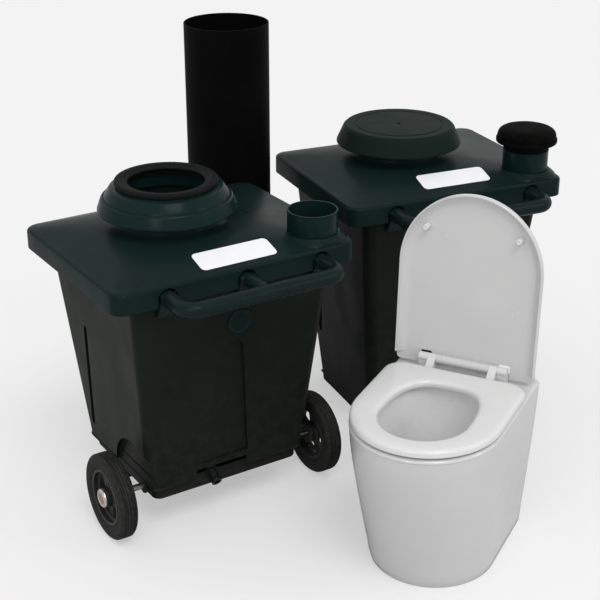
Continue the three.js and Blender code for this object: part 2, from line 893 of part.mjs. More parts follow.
function sweptTube(points, radius) {
  const outline = Array.from({ length: handleSides }, (_, i) => {
    const angle = i / handleSides * 2 * Math.PI;
    return new THREE.Vector2(radius * Math.cos(angle), radius * Math.sin(angle));
  });
  const rings = points.map((point, i) => {
    const before = point.clone().sub(points[Math.max(i - 1, 0)]);
    const after = points[Math.min(i + 1, points.length - 1)].clone().sub(point);
    if (before.length() === 0) before.copy(after);
    if (after.length() === 0) after.copy(before);
    const along = before.normalize().clone().add(after.normalize()).normalize();
    const mitre = 1 / along.dot(after);
    const across = new THREE.Vector3(-along.y * mitre, along.x * mitre, 0);
    const centre = new THREE.Vector3(handleX + point.x, point.y, handleHeight);
    const up = new THREE.Vector3(0, 0, 1);
    return outline.map(({ x, y }) => centre.clone().addScaledVector(across, x).addScaledVector(up, y));
  });
  return skin(rings, outline);
}

function handle() {
  const { wallY, barY, points } = handlePath();
  let body = solid(sweptTube(points, handleBarRadius));
  const armLength = wallY - barY;
  const arm = new THREE.CylinderGeometry(handleArmRadius, handleArmRadius, armLength, handleSides);
  body = body.add(solid(arm.translate(handleX, barY + armLength / 2, handleHeight)));
  for (const offset of handleOffsets()) body = body.add(gusset(handleX + offset));
  for (const offset of handleOffsets()) {
    const hole = upright(boltRadius + gap, boltRadius + gap, -overrun, boltGrip + gap, boltSides);
    body = body.subtract(solid(ontoWall(hole, handleX + offset, boltHeight)));
  }
  return body;
}

function gusset(x) {
  const top = handleHeight + handleArmRadius * Math.SQRT1_2;
  const wallAt = (z) => -halfDepthAt(z) - gap;
  const profile = [
    [wallAt(gussetBottom), gussetBottom],
    [wallAt(top), top],
    [wallAt(top) - gussetReach, top],
    [wallAt(top) - gussetReach, handleHeight - handleArmRadius / 2],
    [wallAt(gussetBottom) - gussetFoot, gussetBottom],
  ];
  const geometry = prism(profile, gussetWidth);
  return solid(geometry.rotateX(Math.PI / 2).rotateZ(Math.PI / 2).translate(x - gussetWidth / 2, 0, 0));
}

function handleBolt() {
  const headTop = -tankWall / Math.cos(wallTiltY) - gap;
  const shank = upright(boltRadius, boltRadius, headTop - softEdge, boltGrip, boltSides);
  const head = upright(boltHeadRadius, boltHeadRadius, headTop - boltHeadHeight, headTop, boltSides);
  return solid(shank).add(solid(head));
}

function wallPlug() {
  return turned([
    [0, plugThickness - softEdge],
    [plugRadius - plugRimWidth - softEdge, plugThickness - softEdge],
    [plugRadius - plugRimWidth, plugThickness],
    [plugRadius - softEdge, plugThickness],
    [plugRadius, plugThickness - softEdge],
    [plugRadius, gap],
    [plugStemRadius, gap],
    [plugStemRadius, -plugStemLength],
    [plugStemRadius - plugRimWidth, -plugStemLength],
    [plugStemRadius - plugRimWidth, 0],
    [0, 0],
  ], smallSides);
}

// Made pointing along +Z with its down side at -Y: flange and stem square to
// the wall, ribbed barrel turned down
function spigot() {
  const core = spigotRadius - spigotRibRise;
  const flange = spigotFlangeThickness + gap;
  const root = flange / 2;
  const profile = [[0, 0], [core, 0]];
  for (let z = spigotRibPitch; z + spigotRibWidth < spigotLength; z += spigotRibPitch) {
    profile.push([core, z], [spigotRadius, z + spigotRibWidth / 2], [core, z + spigotRibWidth]);
  }
  profile.push([core, spigotLength], [0, spigotLength]);
  const stem = turned([
    [0, -spigotStemLength],
    [spigotStemRadius, -spigotStemLength],
    [spigotStemRadius, gap],
    [spigotFlangeRadius, gap],
    [spigotFlangeRadius, flange],
    [0, flange],
  ], smallSides);
  const barrelBore = upright(spigotBore, spigotBore, 0, spigotLength + overrun, smallSides);
  const stemBore = upright(spigotStemBore, spigotStemBore, -spigotStemLength - overrun, root, smallSides);
  const behind = solid(box(2 * spigotLength, 2 * spigotLength, spigotLength, 0, 0, root - spigotLength / 2));
  const barrelBody = turned(profile, smallSides).rotate([spigotTilt, 0, 0]).subtract(behind);
  const body = stem.add(barrelBody);
  return body.subtract(solid(barrelBore).rotate([spigotTilt, 0, 0])).subtract(solid(stemBore));
}

// Wheels turn about X
function aboutX(body) {
  return body.rotate([0, 90, 0]);
}

function tyre() {
  const half = tyreWidth / 2;
  const bead = tyreBead + gap;
  const profile = [[bead, -half + tyreShoulder / 2], [wheelRadius - 2 * tyreShoulder, -half]];
  profile.push([wheelRadius, -half + tyreShoulder]);
  for (const offset of [-treadGroovePitch, 0, treadGroovePitch]) {
    profile.push([wheelRadius, offset - treadGrooveWidth / 2], [wheelRadius - treadGrooveDepth, offset]);
    profile.push([wheelRadius, offset + treadGrooveWidth / 2]);
  }
  profile.push([wheelRadius, half - tyreShoulder]);
  profile.push([wheelRadius - 2 * tyreShoulder, half], [bead, half - tyreShoulder / 2]);
  return aboutX(turned(profile));
}

function wheelRim() {
  const web = rimWebThickness / 2;
  const ring = tyreBead - rimRingThickness;
  const half = rimWidth / 2;
  const hub = hubWidth / 2;
  const bore = axleRadius + gap;
  let body = turned([
    [bore, -hub],
    [hubRadius, -hub],
    [hubRadius, -web],
    [ring, -web],
    [ring, -half],
    [tyreBead, -half],
    [tyreBead, half],
    [ring, half],
    [ring, web],
    [hubRadius, web],
    [hubRadius, hub],
    [bore, hub],
  ]);
  for (let i = 0; i < spokeCount; i += 1) body = body.subtract(spokeHole(i));
  return aboutX(body);
}

function spokeHole(i) {
  const pitch = 2 * Math.PI / spokeCount;
  const half = pitch * (1 - spokeWidthShare) / 2;
  const outer = tyreBead - rimRingThickness - spokeHoleOuterMargin;
  const inner = hubRadius + spokeHoleInnerMargin;
  const shape = new THREE.Shape();
  shape.absarc(0, 0, outer, i * pitch - half, i * pitch + half, false);
  const inside = half * spokeFlareShare;
  shape.absarc(0, 0, inner, i * pitch + inside, i * pitch - inside, true);
  const geometry = slab(shape, overrun);
  return solid(geometry.translate(0, 0, -overrun / 2));
}

function axle() {
  const length = 2 * (wheelX + hubWidth / 2 + hubCapThickness / 2);
  return solid(new THREE.CylinderGeometry(axleRadius, axleRadius, length, smallSides).rotateZ(Math.PI / 2));
}

// Push-on cap over the axle's end, made pointing along +X
function hubCap() {
  const bore = axleRadius + gap;
  const floor = hubCapThickness / 2 + gap;
  return aboutX(turned([
    ...hubCapShares.map(([wide, high]) => [wide * hubCapRadius, high * hubCapThickness]),
    [hubCapRadius, gap],
    [bore, gap],
    [bore, floor],
    [0, floor],
  ], smallSides));
}

// Flanged bush in the tray's side wall, made pointing along +X
function axleBush() {
  const bore = axleRadius + gap;
  return aboutX(turned([
    [bore, -trayWall * 2],
    [bushRadius, -trayWall * 2],
    [bushRadius, gap],
    [bushFlangeRadius, gap],
    [bushFlangeRadius, bushFlangeThickness],
    [bore, bushFlangeThickness],
  ], smallSides));
}

function dropPipe() {
  return turned([
    [pipeRadius - pipeWall, 0],
    [pipeRadius, 0],
    [pipeRadius, pipeLength],
    [pipeRadius - pipeWall, pipeLength],
  ]);
}

// Pedestal shell: D-shaped rings from foot to rim, hollow and open below
const pedestalBack = pedestalDepth / 2;

function pedestalRing(share, z, inset) {
  const halfWidth = THREE.MathUtils.lerp(pedestalFootWidth, pedestalWidth, share) / 2 - inset;
  const depth = THREE.MathUtils.lerp(pedestalFootDepth, pedestalDepth, share);
  const backRadius = Math.max(pedestalBackRadius - inset, pedestalBackRadius / 4);
  return { z, points: dOutline(halfWidth, pedestalBack - inset, pedestalBack - depth + inset, backRadius) };
}

function pedestalRings(inset, topZ) {
  const rings = pedestalProfileShares.map(([heightShare, widthShare]) =>
    pedestalRing(widthShare, pedestalHeight * heightShare, inset));
  const shoulder = pedestalHeight - pedestalRimRound;
  if (inset > 0) {
    rings[0].z -= overrun;
    rings.push(pedestalRing(1, topZ, inset));
    return rings;
  }
  const soft = pedestalRimRound * (1 - Math.SQRT1_2);
  rings.push(pedestalRing(1, shoulder, 0), pedestalRing(1, pedestalHeight - soft, soft));
  rings.push(pedestalRing(1, pedestalHeight, pedestalRimRound));
  return rings;
}

function pedestalShell() {
  const deckUnder = pedestalHeight - pedestalWall;
  let body = solid(loft(pedestalRings(0, pedestalHeight)));
  body = body.subtract(solid(loft(pedestalRings(pedestalWall, deckUnder))));
  const opening = mouthOutline(openingWidth / 2, openingBack, openingFront);
  body = body.subtract(plate(opening, deckUnder - overrun, pedestalHeight + overrun));
  for (const side of [-1, 1]) {
    const hole = upright(studRadius + gap, studRadius + gap, deckUnder - overrun, pedestalHeight + overrun,
      smallSides, side * postX(), hingeY());
    body = body.subtract(solid(hole));
  }
  return body;
}

function hingeY() {
  return pedestalBack - hingeInset;
}

function postX() {
  return lidBarrelHalf + seatKnuckleWidth + 2 * gap + postWidth / 2;
}

// Bowl insert: flange on the deck, funnel down to the round outlet
function bowlRing(inset, z) {
  const grow = -gap - inset;
  return { z, points: mouthOutline(openingWidth / 2 + grow, openingBack + grow, openingFront - grow) };
}

function bowlCircle(radius, z) {
  return { z, points: eggOutline(radius, bowlOutletY + radius, bowlOutletY - radius, bowlOutletY) };
}

function bowlWaistRing(inset) {
  const rim = bowlRing(inset, bowlWaist).points;
  const outlet = bowlCircle(bowlOutletRadius - inset, bowlWaist).points;
  return { z: bowlWaist, points: rim.map((point, i) => point.clone().lerp(outlet[i], bowlWaistShare)) };
}

function wholeBowl() {
  const flangeBottom = pedestalHeight + gap;
  const flangeTop = flangeBottom + bowlFlangeThickness;
  const flangeRing = mouthOutline(openingWidth / 2 + bowlFlangeWidth, openingBack + bowlFlangeWidth,
    openingFront - bowlFlangeWidth);
  let body = solid(loft([
    bowlCircle(bowlOutletRadius, bowlBottom),
    bowlCircle(bowlOutletRadius, bowlOutletTop),
    bowlWaistRing(0),
    bowlRing(0, flangeTop),
  ]));
  body = body.add(plate(flangeRing, flangeBottom, flangeTop));
  return body.subtract(solid(loft([
    bowlCircle(bowlOutletRadius - bowlWall, bowlBottom - overrun),
    bowlCircle(bowlOutletRadius - bowlWall, bowlOutletTop),
    bowlWaistRing(bowlWall),
    bowlRing(bowlWall, flangeTop + overrun),
  ])));
}

function bowlFunnel() {
  return between(wholeBowl(), bowlWaist + gap, pedestalHeight + overrun);
}

function bowlOutlet() {
  return between(wholeBowl(), bowlBottom, bowlWaist);
}

// Seat ring with two knuckles reaching back to the hinge line.
// Its heights are measured from the hinge line, and Y from the pedestal's centre.
const seatTop = seatUnderside + seatThickness - hingeHeight;

function seatRing(inset, z) {
  const back = hingeY() - seatBackSetback;
  return { z, points: dOutline(seatWidth / 2 - inset, back - inset, seatFront + inset, seatBackRadius) };
}

function seatRingHole(inset, z) {
  const halfWidth = seatOpeningWidth / 2 - inset;
  return { z, points: mouthOutline(halfWidth, seatOpeningBack - inset, seatOpeningFront + inset) };
}

function seat() {
  const bottom = seatUnderside - hingeHeight;
  const soft = seatRound * (1 - Math.SQRT1_2);
  let body = solid(loft([
    seatRing(softEdge, bottom),
    seatRing(0, bottom + softEdge),
    seatRing(0, seatTop - seatRound),
    seatRing(soft, seatTop - soft),
    seatRing(seatRound, seatTop),
  ]));
  body = body.subtract(solid(loft([
    seatRingHole(0, bottom - overrun),
    seatRingHole(0, seatTop - seatRound),
    seatRingHole(-soft, seatTop - soft),
    seatRingHole(-seatRound, seatTop),
    seatRingHole(-seatRound, seatTop + overrun),
  ])));
  body = body.translate([0, -hingeY(), 0]);
  for (const side of [-1, 1]) body = body.add(seatKnuckle(side));
  return body.subtract(pinBore());
}

function pinBore() {
  const radius = pinRadius + gap;
  const length = pedestalWidth;
  return solid(new THREE.CylinderGeometry(radius, radius, length, smallSides).rotateZ(Math.PI / 2));
}

function barrel(width, x) {
  const geometry = new THREE.CylinderGeometry(knuckleRadius, knuckleRadius, width, smallSides);
  return solid(geometry.rotateZ(Math.PI / 2).translate(x, 0, 0));
}

function seatKnuckle(side) {
  const x = side * (lidBarrelHalf + gap + seatKnuckleWidth / 2);
  const reach = seatBackSetback + softEdge;
  const armTop = seatTop - seatRound;
  const armBottom = seatUnderside - hingeHeight + softEdge;
  const profile = [
    [0, -knuckleRadius],
    [0, knuckleRadius * Math.SQRT1_2],
    [-knuckleRadius * Math.SQRT1_2, knuckleRadius * Math.SQRT1_2],
    [-reach, armTop],
    [-reach, armBottom],
  ];
  const arm = prism(profile, seatKnuckleWidth).rotateX(Math.PI / 2).rotateZ(Math.PI / 2);
  return barrel(seatKnuckleWidth, x).add(solid(arm.translate(x - seatKnuckleWidth / 2, 0, 0)));
}

// Toilet lid in its closed pose: shallow shell, open side down, hung on a barrel
function toiletLidRing(inset, z, backInset = inset) {
  const reach = toiletLidLength - toiletLidOverhang;
  const back = toiletLidOverhang - backInset;
  return { z, points: dOutline(seatWidth / 2 - inset, back, -reach + inset, toiletLidBackRadius) };
}

function toiletLid() {
  const top = toiletLidRise + toiletLidWall;
  const bottom = top - toiletLidDepth;
  const soft = toiletLidRound * (1 - Math.SQRT1_2);
  let body = solid(loft([
    toiletLidRing(0, bottom),
    toiletLidRing(0, top - toiletLidRound),
    toiletLidRing(soft, top - soft),
    toiletLidRing(toiletLidRound, top),
  ]));
  body = body.subtract(solid(loft([
    toiletLidRing(toiletLidWall, bottom - overrun),
    toiletLidRing(toiletLidWall, bottom),
    toiletLidRing(toiletLidWall + toiletLidSlopeWidth, toiletLidRise, toiletLidWall),
  ])));
  const rearCut = box(seatWidth + overrun, toiletLidOverhang * 2, toiletLidDepth, 0,
    toiletLidOverhang, toiletLidRise - toiletLidDepth / 2 - gap);
  body = body.subtract(solid(rearCut));
  for (const side of [-1, 1]) {
    const notchWidth = postWidth + 2 * postPlay;
    const notchReach = postFootDepth / 2 + postPlay;
    body = body.subtract(solid(box(notchWidth, notchReach + toiletLidOverhang + overrun, 2 * top,
      side * postX(), (toiletLidOverhang + overrun - notchReach) / 2, top)));
  }
  const webWidth = 2 * lidBarrelHalf;
  const webTop = toiletLidRise + toiletLidWall / 2;
  const web = box(webWidth, knuckleRadius, webTop, 0, 0, webTop / 2);
  return body.add(solid(web)).add(barrel(webWidth, 0)).subtract(pinBore());
}

// Fixed hinge post: barrel, foot on the deck and a stud through it
function hingePost() {
  const foot = box(postWidth, postFootDepth, hingeHeight - gap, 0, 0, -(hingeHeight - gap) / 2);
  const studTop = studRadius - hingeHeight;
  const stud = upright(studRadius, studRadius, -hingeHeight - studLength, studTop, smallSides);
  return solid(foot).add(barrel(postWidth, 0)).add(solid(stud)).subtract(pinBore());
}

function hingePin() {
  const length = 2 * (postX() + postWidth / 2 - gap);
  return solid(new THREE.CylinderGeometry(pinRadius, pinRadius, length, smallSides).rotateZ(Math.PI / 2));
}

function hingeNut() {
  const bore = studRadius + gap;
  const hexagon = solid(upright(hingeNutRadius, hingeNutRadius, 0, hingeNutHeight, nutSides));
  return hexagon.subtract(solid(upright(bore, bore, -overrun, hingeNutHeight + overrun, smallSides)));
}

function bumper(height) {
  return solid(upright(bumperRadius * bumperTopShare, bumperRadius, gap, height - gap, boltSides));
}

// Scene graph
const set = new THREE.Group();

function place(parent, name, body, material, x = 0, y = 0, z = 0) {
  const mesh = new THREE.Mesh(geometryOf(body), material);
  mesh.name = name;
  mesh.position.set(x, y, z);
  parent.add(mesh);
  return mesh;
}

function container(prefix, bottom, floorHeight, hasWheels) {
  const group = new THREE.Group();
  place(group, `${prefix}_tank`, tank(bottom, floorHeight, hasWheels), tankGreen);
  place(group, `${prefix}_lid`, lidRoof(), lidGreen);
  place(group, `${prefix}_lid_skirt`, lidSkirt(), lidGreen);
  place(group, `${prefix}_lid_neck`, lidNeck(), lidGreen, neckX, neckY);
  place(group, `${prefix}_vent_boss`, ventBoss(), lidGreen);
  place(group, `${prefix}_vent_socket`, ventSocket(), lidGreen, ventX, ventY, ventSeat() + gap);
  place(group, `${prefix}_handle`, handle(), handleGreen);
  handleOffsets().forEach((offset, i) => {
    const bolt = place(group, `${prefix}_handle_bolt_${i + 1}`, handleBolt(), steel,
      handleX + offset, -halfDepthAt(boltHeight), boltHeight);
    bolt.rotation.x = Math.PI / 2 + wallTiltY;
  });
  const plug = place(group, `${prefix}_wall_plug`, wallPlug(), tankGreen,
    plugX, -halfDepthAt(plugHeight), plugHeight);
  plug.rotation.x = Math.PI / 2 + wallTiltY;
  const x = hasWheels ? labelX : spareLabelX;
  const setback = hasWheels ? labelSetback : spareLabelSetback;
  const y = setback - lidDepth / 2;
  const fromEdge = setback - lidEdgeRound;
  const z = rimTop + fromEdge * Math.tan(lidSlope);
  place(group, `${prefix}_label_plate`, label(), labelWhite, x, y, z).rotation.x = lidSlope;
  return group;
}

function wheels(group) {
  place(group, 'front_axle', axle(), steel, 0, wheelY, wheelRadius);
  for (const side of [-1, 1]) {
    const hand = side < 0 ? 'left' : 'right';
    const turn = side < 0 ? Math.PI : 0;
    place(group, `front_wheel_tyre_${hand}`, tyre(), tyreRubber, side * wheelX, wheelY, wheelRadius);
    place(group, `front_wheel_rim_${hand}`, wheelRim(), rimGrey, side * wheelX, wheelY, wheelRadius);
    const capX = side * (wheelX + hubWidth / 2);
    place(group, `front_hub_cap_${hand}`, hubCap(), steel, capX, wheelY, wheelRadius).rotation.z = turn;
    const bushX = side * trayHalf()[0];
    const bush = place(group, `front_axle_bush_${hand}`, axleBush(), trayBlack, bushX, wheelY, wheelRadius);
    bush.rotation.z = turn;
  }
}

const front = container('front', tankFootHeight, tankFloorHeight, true);
place(front, 'front_base_tray', tray(), trayBlack);
place(front, 'front_drain_grate', grate(tankFloorHeight + tankFloorThickness), trayBlack);
const drain = place(front, 'front_drain_spigot', spigot(), trayBlack, spigotX, -trayHalf()[1], spigotHeight);
drain.rotation.x = Math.PI / 2;
place(front, 'front_inlet_collar', collar(), lidGreen, neckX, neckY, neckTop);
place(front, 'front_inlet_seal', seal(), sealRubber, neckX, neckY, neckTop + collarHeight - collarDrop);
wheels(front);
set.add(front);

const spare = container('rear', 0, spareFloorHeight, false);
place(spare, 'rear_closing_cover', closingCover(), lidGreen, neckX, neckY, neckTop);
const capFoot = ventSeat() + gap + ventLength;
place(spare, 'rear_vent_cap', ventCap(), capBlack, ventX, ventY, capFoot);
place(spare, 'rear_vent_cap_tube', ventCapTube(), capBlack, ventX, ventY, capFoot);
spare.position.set(spareX, spareY, 0);
spare.rotation.z = radians(spareTurn);
set.add(spare);

place(set, 'drop_pipe', dropPipe(), pipeBlack, pipeX, pipeY, 0);

const pedestal = new THREE.Group();
place(pedestal, 'pedestal_shell', pedestalShell(), shellWhite);
place(pedestal, 'pedestal_bowl', bowlFunnel(), bowlGrey);
place(pedestal, 'pedestal_bowl_outlet', bowlOutlet(), bowlGrey);
const hinge = new THREE.Group();
hinge.position.set(0, hingeY(), pedestalHeight + hingeHeight);
place(hinge, 'pedestal_seat', seat(), seatWhite);
place(hinge, 'pedestal_hinge_pin', hingePin(), steel);
for (const side of [-1, 1]) {
  const hand = side < 0 ? 'left' : 'right';
  place(hinge, `pedestal_hinge_post_${hand}`, hingePost(), hingeWhite, side * postX());
  place(hinge, `pedestal_hinge_nut_${hand}`, hingeNut(), hingeWhite, side * postX(), 0,
    -hingeHeight - pedestalWall - hingeNutHeight - gap);
  for (const [end, y] of [['back', seatBumperBack], ['front', seatBumperFront]]) {
    place(pedestal, `pedestal_seat_bumper_${end}_${hand}`, bumper(seatUnderside), hingeWhite,
      side * seatBumperX, y, pedestalHeight);
  }
}
const openLid = new THREE.Group();
openLid.rotation.x = -radians(90 + toiletLidLean);
place(openLid, 'pedestal_lid', toiletLid(), seatWhite);
for (const side of [-1, 1]) {
  const hand = side < 0 ? 'left' : 'right';
  const stud = place(openLid, `pedestal_lid_bumper_${hand}`, bumper(toiletLidRise - seatTop),
    hingeWhite, side * lidBumperX, -lidBumperReach, toiletLidRise);
  stud.rotation.x = Math.PI;
}
hinge.add(openLid);
pedestal.add(hinge);
pedestal.position.set(pedestalX, pedestalY, 0);
pedestal.rotation.z = radians(pedestalTurn);
set.add(pedestal);

// The origin lies on the floor under the middle of the whole set
set.updateMatrixWorld(true);
const bounds = new THREE.Box3().setFromObject(set, true);
const middle = bounds.getCenter(new THREE.Vector3());
for (const part of set.children) {
  part.position.x -= middle.x;
  part.position.y -= middle.y;
}
set.updateMatrixWorld(true);

export default set;
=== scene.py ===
import math
import bmesh
import bpy
from mathutils import Matrix, Vector


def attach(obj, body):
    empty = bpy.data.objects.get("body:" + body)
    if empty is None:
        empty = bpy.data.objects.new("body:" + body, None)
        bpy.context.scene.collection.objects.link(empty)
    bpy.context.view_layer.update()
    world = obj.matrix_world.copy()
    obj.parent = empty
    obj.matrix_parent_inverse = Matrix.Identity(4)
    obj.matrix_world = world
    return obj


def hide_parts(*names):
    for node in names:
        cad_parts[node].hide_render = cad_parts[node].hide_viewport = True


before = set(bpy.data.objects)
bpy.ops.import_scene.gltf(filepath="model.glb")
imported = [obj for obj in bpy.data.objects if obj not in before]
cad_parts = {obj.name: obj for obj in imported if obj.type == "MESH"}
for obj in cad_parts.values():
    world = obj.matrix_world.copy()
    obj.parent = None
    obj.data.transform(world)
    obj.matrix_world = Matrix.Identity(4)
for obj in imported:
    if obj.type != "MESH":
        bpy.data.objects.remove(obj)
bpy.ops.object.select_all(action="DESELECT")
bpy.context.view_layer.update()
print("frame loaded")

# Pieces are drawn in millimetres in the axes of the group they belong to,
# then put in their place and turned into metres.
mm = 0.001
play = 0.3      # left between pieces that fit together
groupPlaces = {
    "front": (-404.21, 155.33, 0.0),
    "rear": (374.79, 279.33, -8.8),
    "pipe": (-68.21, 540.33, 0.0),
    "pedestal": (-96.21, -443.67, -58.0),
}


# Modelling helpers

def activate(obj):
    if bpy.context.object and bpy.context.object.mode != "OBJECT":
        bpy.ops.object.mode_set(mode="OBJECT")
    bpy.ops.object.select_all(action="DESELECT")
    obj.select_set(True)
    bpy.context.view_layer.objects.active = obj
    return obj


def named(name):
    obj = bpy.context.object
    obj.name = name
    obj.data.name = name
    return obj


def applyModifier(obj, kind, **settings):
    activate(obj)
    bpy.ops.object.modifier_add(type=kind)
    modifier = obj.modifiers[-1]
    for key, value in settings.items():
        setattr(modifier, key, value)
    bpy.ops.object.modifier_apply(modifier=modifier.name)


def softenEdges(obj, width, segments=3, angle=32):
    applyModifier(obj, "BEVEL", width=width, segments=segments, limit_method="ANGLE",
                  angle_limit=math.radians(angle), use_clamp_overlap=True, miter_outer="MITER_ARC")


def carve(obj, tool, operation="DIFFERENCE"):
    applyModifier(obj, "BOOLEAN", object=tool, operation=operation, solver="EXACT")
    bpy.data.objects.remove(tool, do_unlink=True)


def weld(obj, tool):
    carve(obj, tool, "UNION")


def joinAll(objects):
    activate(objects[0])
    for obj in objects[1:]:
        obj.select_set(True)
    bpy.ops.object.join()
    return bpy.context.object


def copyOf(obj, name):
    activate(obj)
    bpy.ops.object.duplicate(linked=False)
    return named(name)


def pick(obj, kind, test):
    # selects, in edit mode, the faces, edges or vertices that pass the test
    activate(obj)
    bpy.ops.object.mode_set(mode="EDIT")
    bpy.ops.mesh.select_mode(type=kind)
    bpy.ops.mesh.select_all(action="DESELECT")
    mesh = bmesh.from_edit_mesh(obj.data)
    parts = {"FACE": mesh.faces, "EDGE": mesh.edges, "VERT": mesh.verts}[kind]
    for part in parts:
        if test(part):
            part.select_set(True)
    mesh.select_flush_mode()
    bmesh.update_edit_mesh(obj.data)


def objectMode():
    bpy.ops.object.mode_set(mode="OBJECT")


def isUpright(edge):
    return abs(edge.verts[0].co.z - edge.verts[1].co.z) > 20


def softCorners(points, reach=2.0, steps=4, closed=False):
    # rounds the corners of a profile; an open profile keeps its two ends
    count = len(points)
    result = []
    for i, corner in enumerate(points):
        if not closed and i in (0, count - 1):
            result.append(tuple(corner))
            continue
        here = Vector(corner)
        before = Vector(points[i - 1]) - here
        after = Vector(points[(i + 1) % count]) - here
        start = here + before.normalized() * min(reach, 0.45 * before.length)
        end = here + after.normalized() * min(reach, 0.45 * after.length)
        for step in range(steps + 1):
            t = step / steps
            point = start * (1 - t) ** 2 + here * 2 * t * (1 - t) + end * t ** 2
            result.append(tuple(point))
    return result


def turn(name, profile, steps=96, closed=True):
    # one vertex is drawn along the profile and spun round Z
    bpy.ops.mesh.primitive_plane_add(size=1, location=(0, 0, 0))
    obj = named(name)
    bpy.ops.object.mode_set(mode="EDIT")
    bpy.ops.mesh.select_mode(type="VERT")
    bpy.ops.mesh.select_all(action="SELECT")
    bpy.ops.mesh.merge(type="CENTER")
    bpy.ops.transform.translate(value=(profile[0][0], 0, profile[0][1]))
    path = profile + [profile[0]] if closed else profile
    for (r0, z0), (r1, z1) in zip(path, path[1:]):
        bpy.ops.mesh.extrude_vertices_move(TRANSFORM_OT_translate={"value": (r1 - r0, 0, z1 - z0)})
    bpy.ops.mesh.select_all(action="SELECT")
    bpy.ops.mesh.spin(steps=steps, angle=2 * math.pi, center=(0, 0, 0), axis=(0, 0, 1))
    bpy.ops.mesh.select_all(action="SELECT")
    bpy.ops.mesh.remove_doubles(threshold=0.005)
    bpy.ops.mesh.normals_make_consistent(inside=False)
    objectMode()
    return obj


def loft(name, rings, closed=False):
    # a circle is shaped to the first ring, then its edge is extruded from ring to ring
    bpy.ops.mesh.primitive_circle_add(vertices=len(rings[0]), radius=1, location=(0, 0, 0))
    obj = named(name)
    order = obj.data.attributes.new("ringOrder", "INT", "POINT")
    for i, vertex in enumerate(obj.data.vertices):
        vertex.co = rings[0][i]
        order.data[i].value = i
    bpy.ops.object.mode_set(mode="EDIT")
    bpy.ops.mesh.select_mode(type="EDGE")
    bpy.ops.mesh.select_all(action="SELECT")
    for ring in rings[1:]:
        bpy.ops.mesh.extrude_edges_move()
        mesh = bmesh.from_edit_mesh(obj.data)
        layer = mesh.verts.layers.int["ringOrder"]
        for vertex in mesh.verts:
            if vertex.select:
                vertex.co = ring[vertex[layer]]
        bmesh.update_edit_mesh(obj.data)
    bpy.ops.mesh.select_all(action="SELECT")
    bpy.ops.mesh.remove_doubles(threshold=0.005)
    if not closed:
        bpy.ops.mesh.fill_holes(sides=0)
    bpy.ops.mesh.select_all(action="SELECT")
    bpy.ops.mesh.normals_make_consistent(inside=False)
    objectMode()
    obj.data.attributes.remove(obj.data.attributes["ringOrder"])
    return obj


def level(points, z):
    return [(x, y, z) for x, y in points]


def upright(points, x):
    return [(x, y, z) for y, z in points]


def block(name, size, middle, round=0.0, segments=3):
    bpy.ops.mesh.primitive_cube_add(size=1, location=middle)
    obj = named(name)
    bpy.ops.object.mode_set(mode="EDIT")
    bpy.ops.mesh.select_all(action="SELECT")
    bpy.ops.transform.resize(value=size, center_override=middle)
    if round:
        bpy.ops.mesh.bevel(offset=round, segments=segments, affect="EDGES")
    objectMode()
    return obj


def bar(name, radius, length, middle, axis="Z", sides=64):
    turnTo = {"Z": (0, 0, 0), "X": (0, math.pi / 2, 0), "Y": (math.pi / 2, 0, 0)}[axis]
    bpy.ops.mesh.primitive_cylinder_add(vertices=sides, radius=radius, depth=length,
                                        location=middle, rotation=turnTo)
    return named(name)


def putInPlace(obj, group, local=None):
    x, y, turned = groupPlaces[group]
    home = Matrix.Translation((x * mm, y * mm, 0)) @ Matrix.Rotation(math.radians(turned), 4, "Z")
    obj.matrix_world = home @ Matrix.Scale(mm, 4) @ (local or Matrix()) @ obj.matrix_world
    activate(obj)
    bpy.ops.object.transform_apply(location=True, rotation=True, scale=True)


def finishPiece(obj, group, body, finish, nodes, local=None, sharp=38, flats=False):
    putInPlace(obj, group, local)
    bpy.ops.object.shade_smooth_by_angle(angle=math.radians(sharp))
    if flats:
        applyModifier(obj, "WEIGHTED_NORMAL", keep_sharp=True, weight=60)
    if finish:
        obj.data.materials.clear()
        obj.data.materials.append(finish)
    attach(obj, body)
    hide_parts(*nodes)
    return obj


def finishPair(obj, body, finish, nodes, local=None, sharp=38, flats=False):
    # the front container's piece, and a copy of it on the rear container
    rearOne = copyOf(obj, obj.name.replace("front", "rear"))
    for group, piece in (("front", obj), ("rear", rearOne)):
        finishPiece(piece, group, group + "_" + body, finish,
                    [group + "_" + node for node in nodes], local, sharp, flats)


# Finishes

def newFinish(name):
    material = bpy.data.materials.new(name)
    material.use_nodes = True
    tree = material.node_tree
    shader = tree.nodes["Principled BSDF"]
    spot = tree.nodes.new("ShaderNodeTexCoord").outputs["Object"]
    return material, tree, shader, spot


def stretched(tree, spot, scale):
    mapping = tree.nodes.new("ShaderNodeMapping")
    mapping.inputs["Scale"].default_value = scale
    tree.links.new(spot, mapping.inputs["Vector"])
    return mapping.outputs["Vector"]


def noise(tree, spot, scale, detail=3.0, rough=0.55):
    node = tree.nodes.new("ShaderNodeTexNoise")
    node.inputs["Scale"].default_value = scale
    node.inputs["Detail"].default_value = detail
    node.inputs["Roughness"].default_value = rough
    tree.links.new(spot, node.inputs["Vector"])
    return node.outputs["Fac"]


def spread(tree, value, low, high, fromLow=0.3, fromHigh=0.7):
    node = tree.nodes.new("ShaderNodeMapRange")
    node.inputs["From Min"].default_value = fromLow
    node.inputs["From Max"].default_value = fromHigh
    node.inputs["To Min"].default_value = low
    node.inputs["To Max"].default_value = high
    tree.links.new(value, node.inputs["Value"])
    return node.outputs["Result"]


def blended(tree, share, first, second):
    node = tree.nodes.new("ShaderNodeMix")
    node.data_type = "RGBA"
    for socket, value in ((node.inputs[6], first), (node.inputs[7], second)):
        if isinstance(value, tuple):
            socket.default_value = (*value, 1.0)
        else:
            tree.links.new(value, socket)
    tree.links.new(share, node.inputs[0])
    return node.outputs[2]


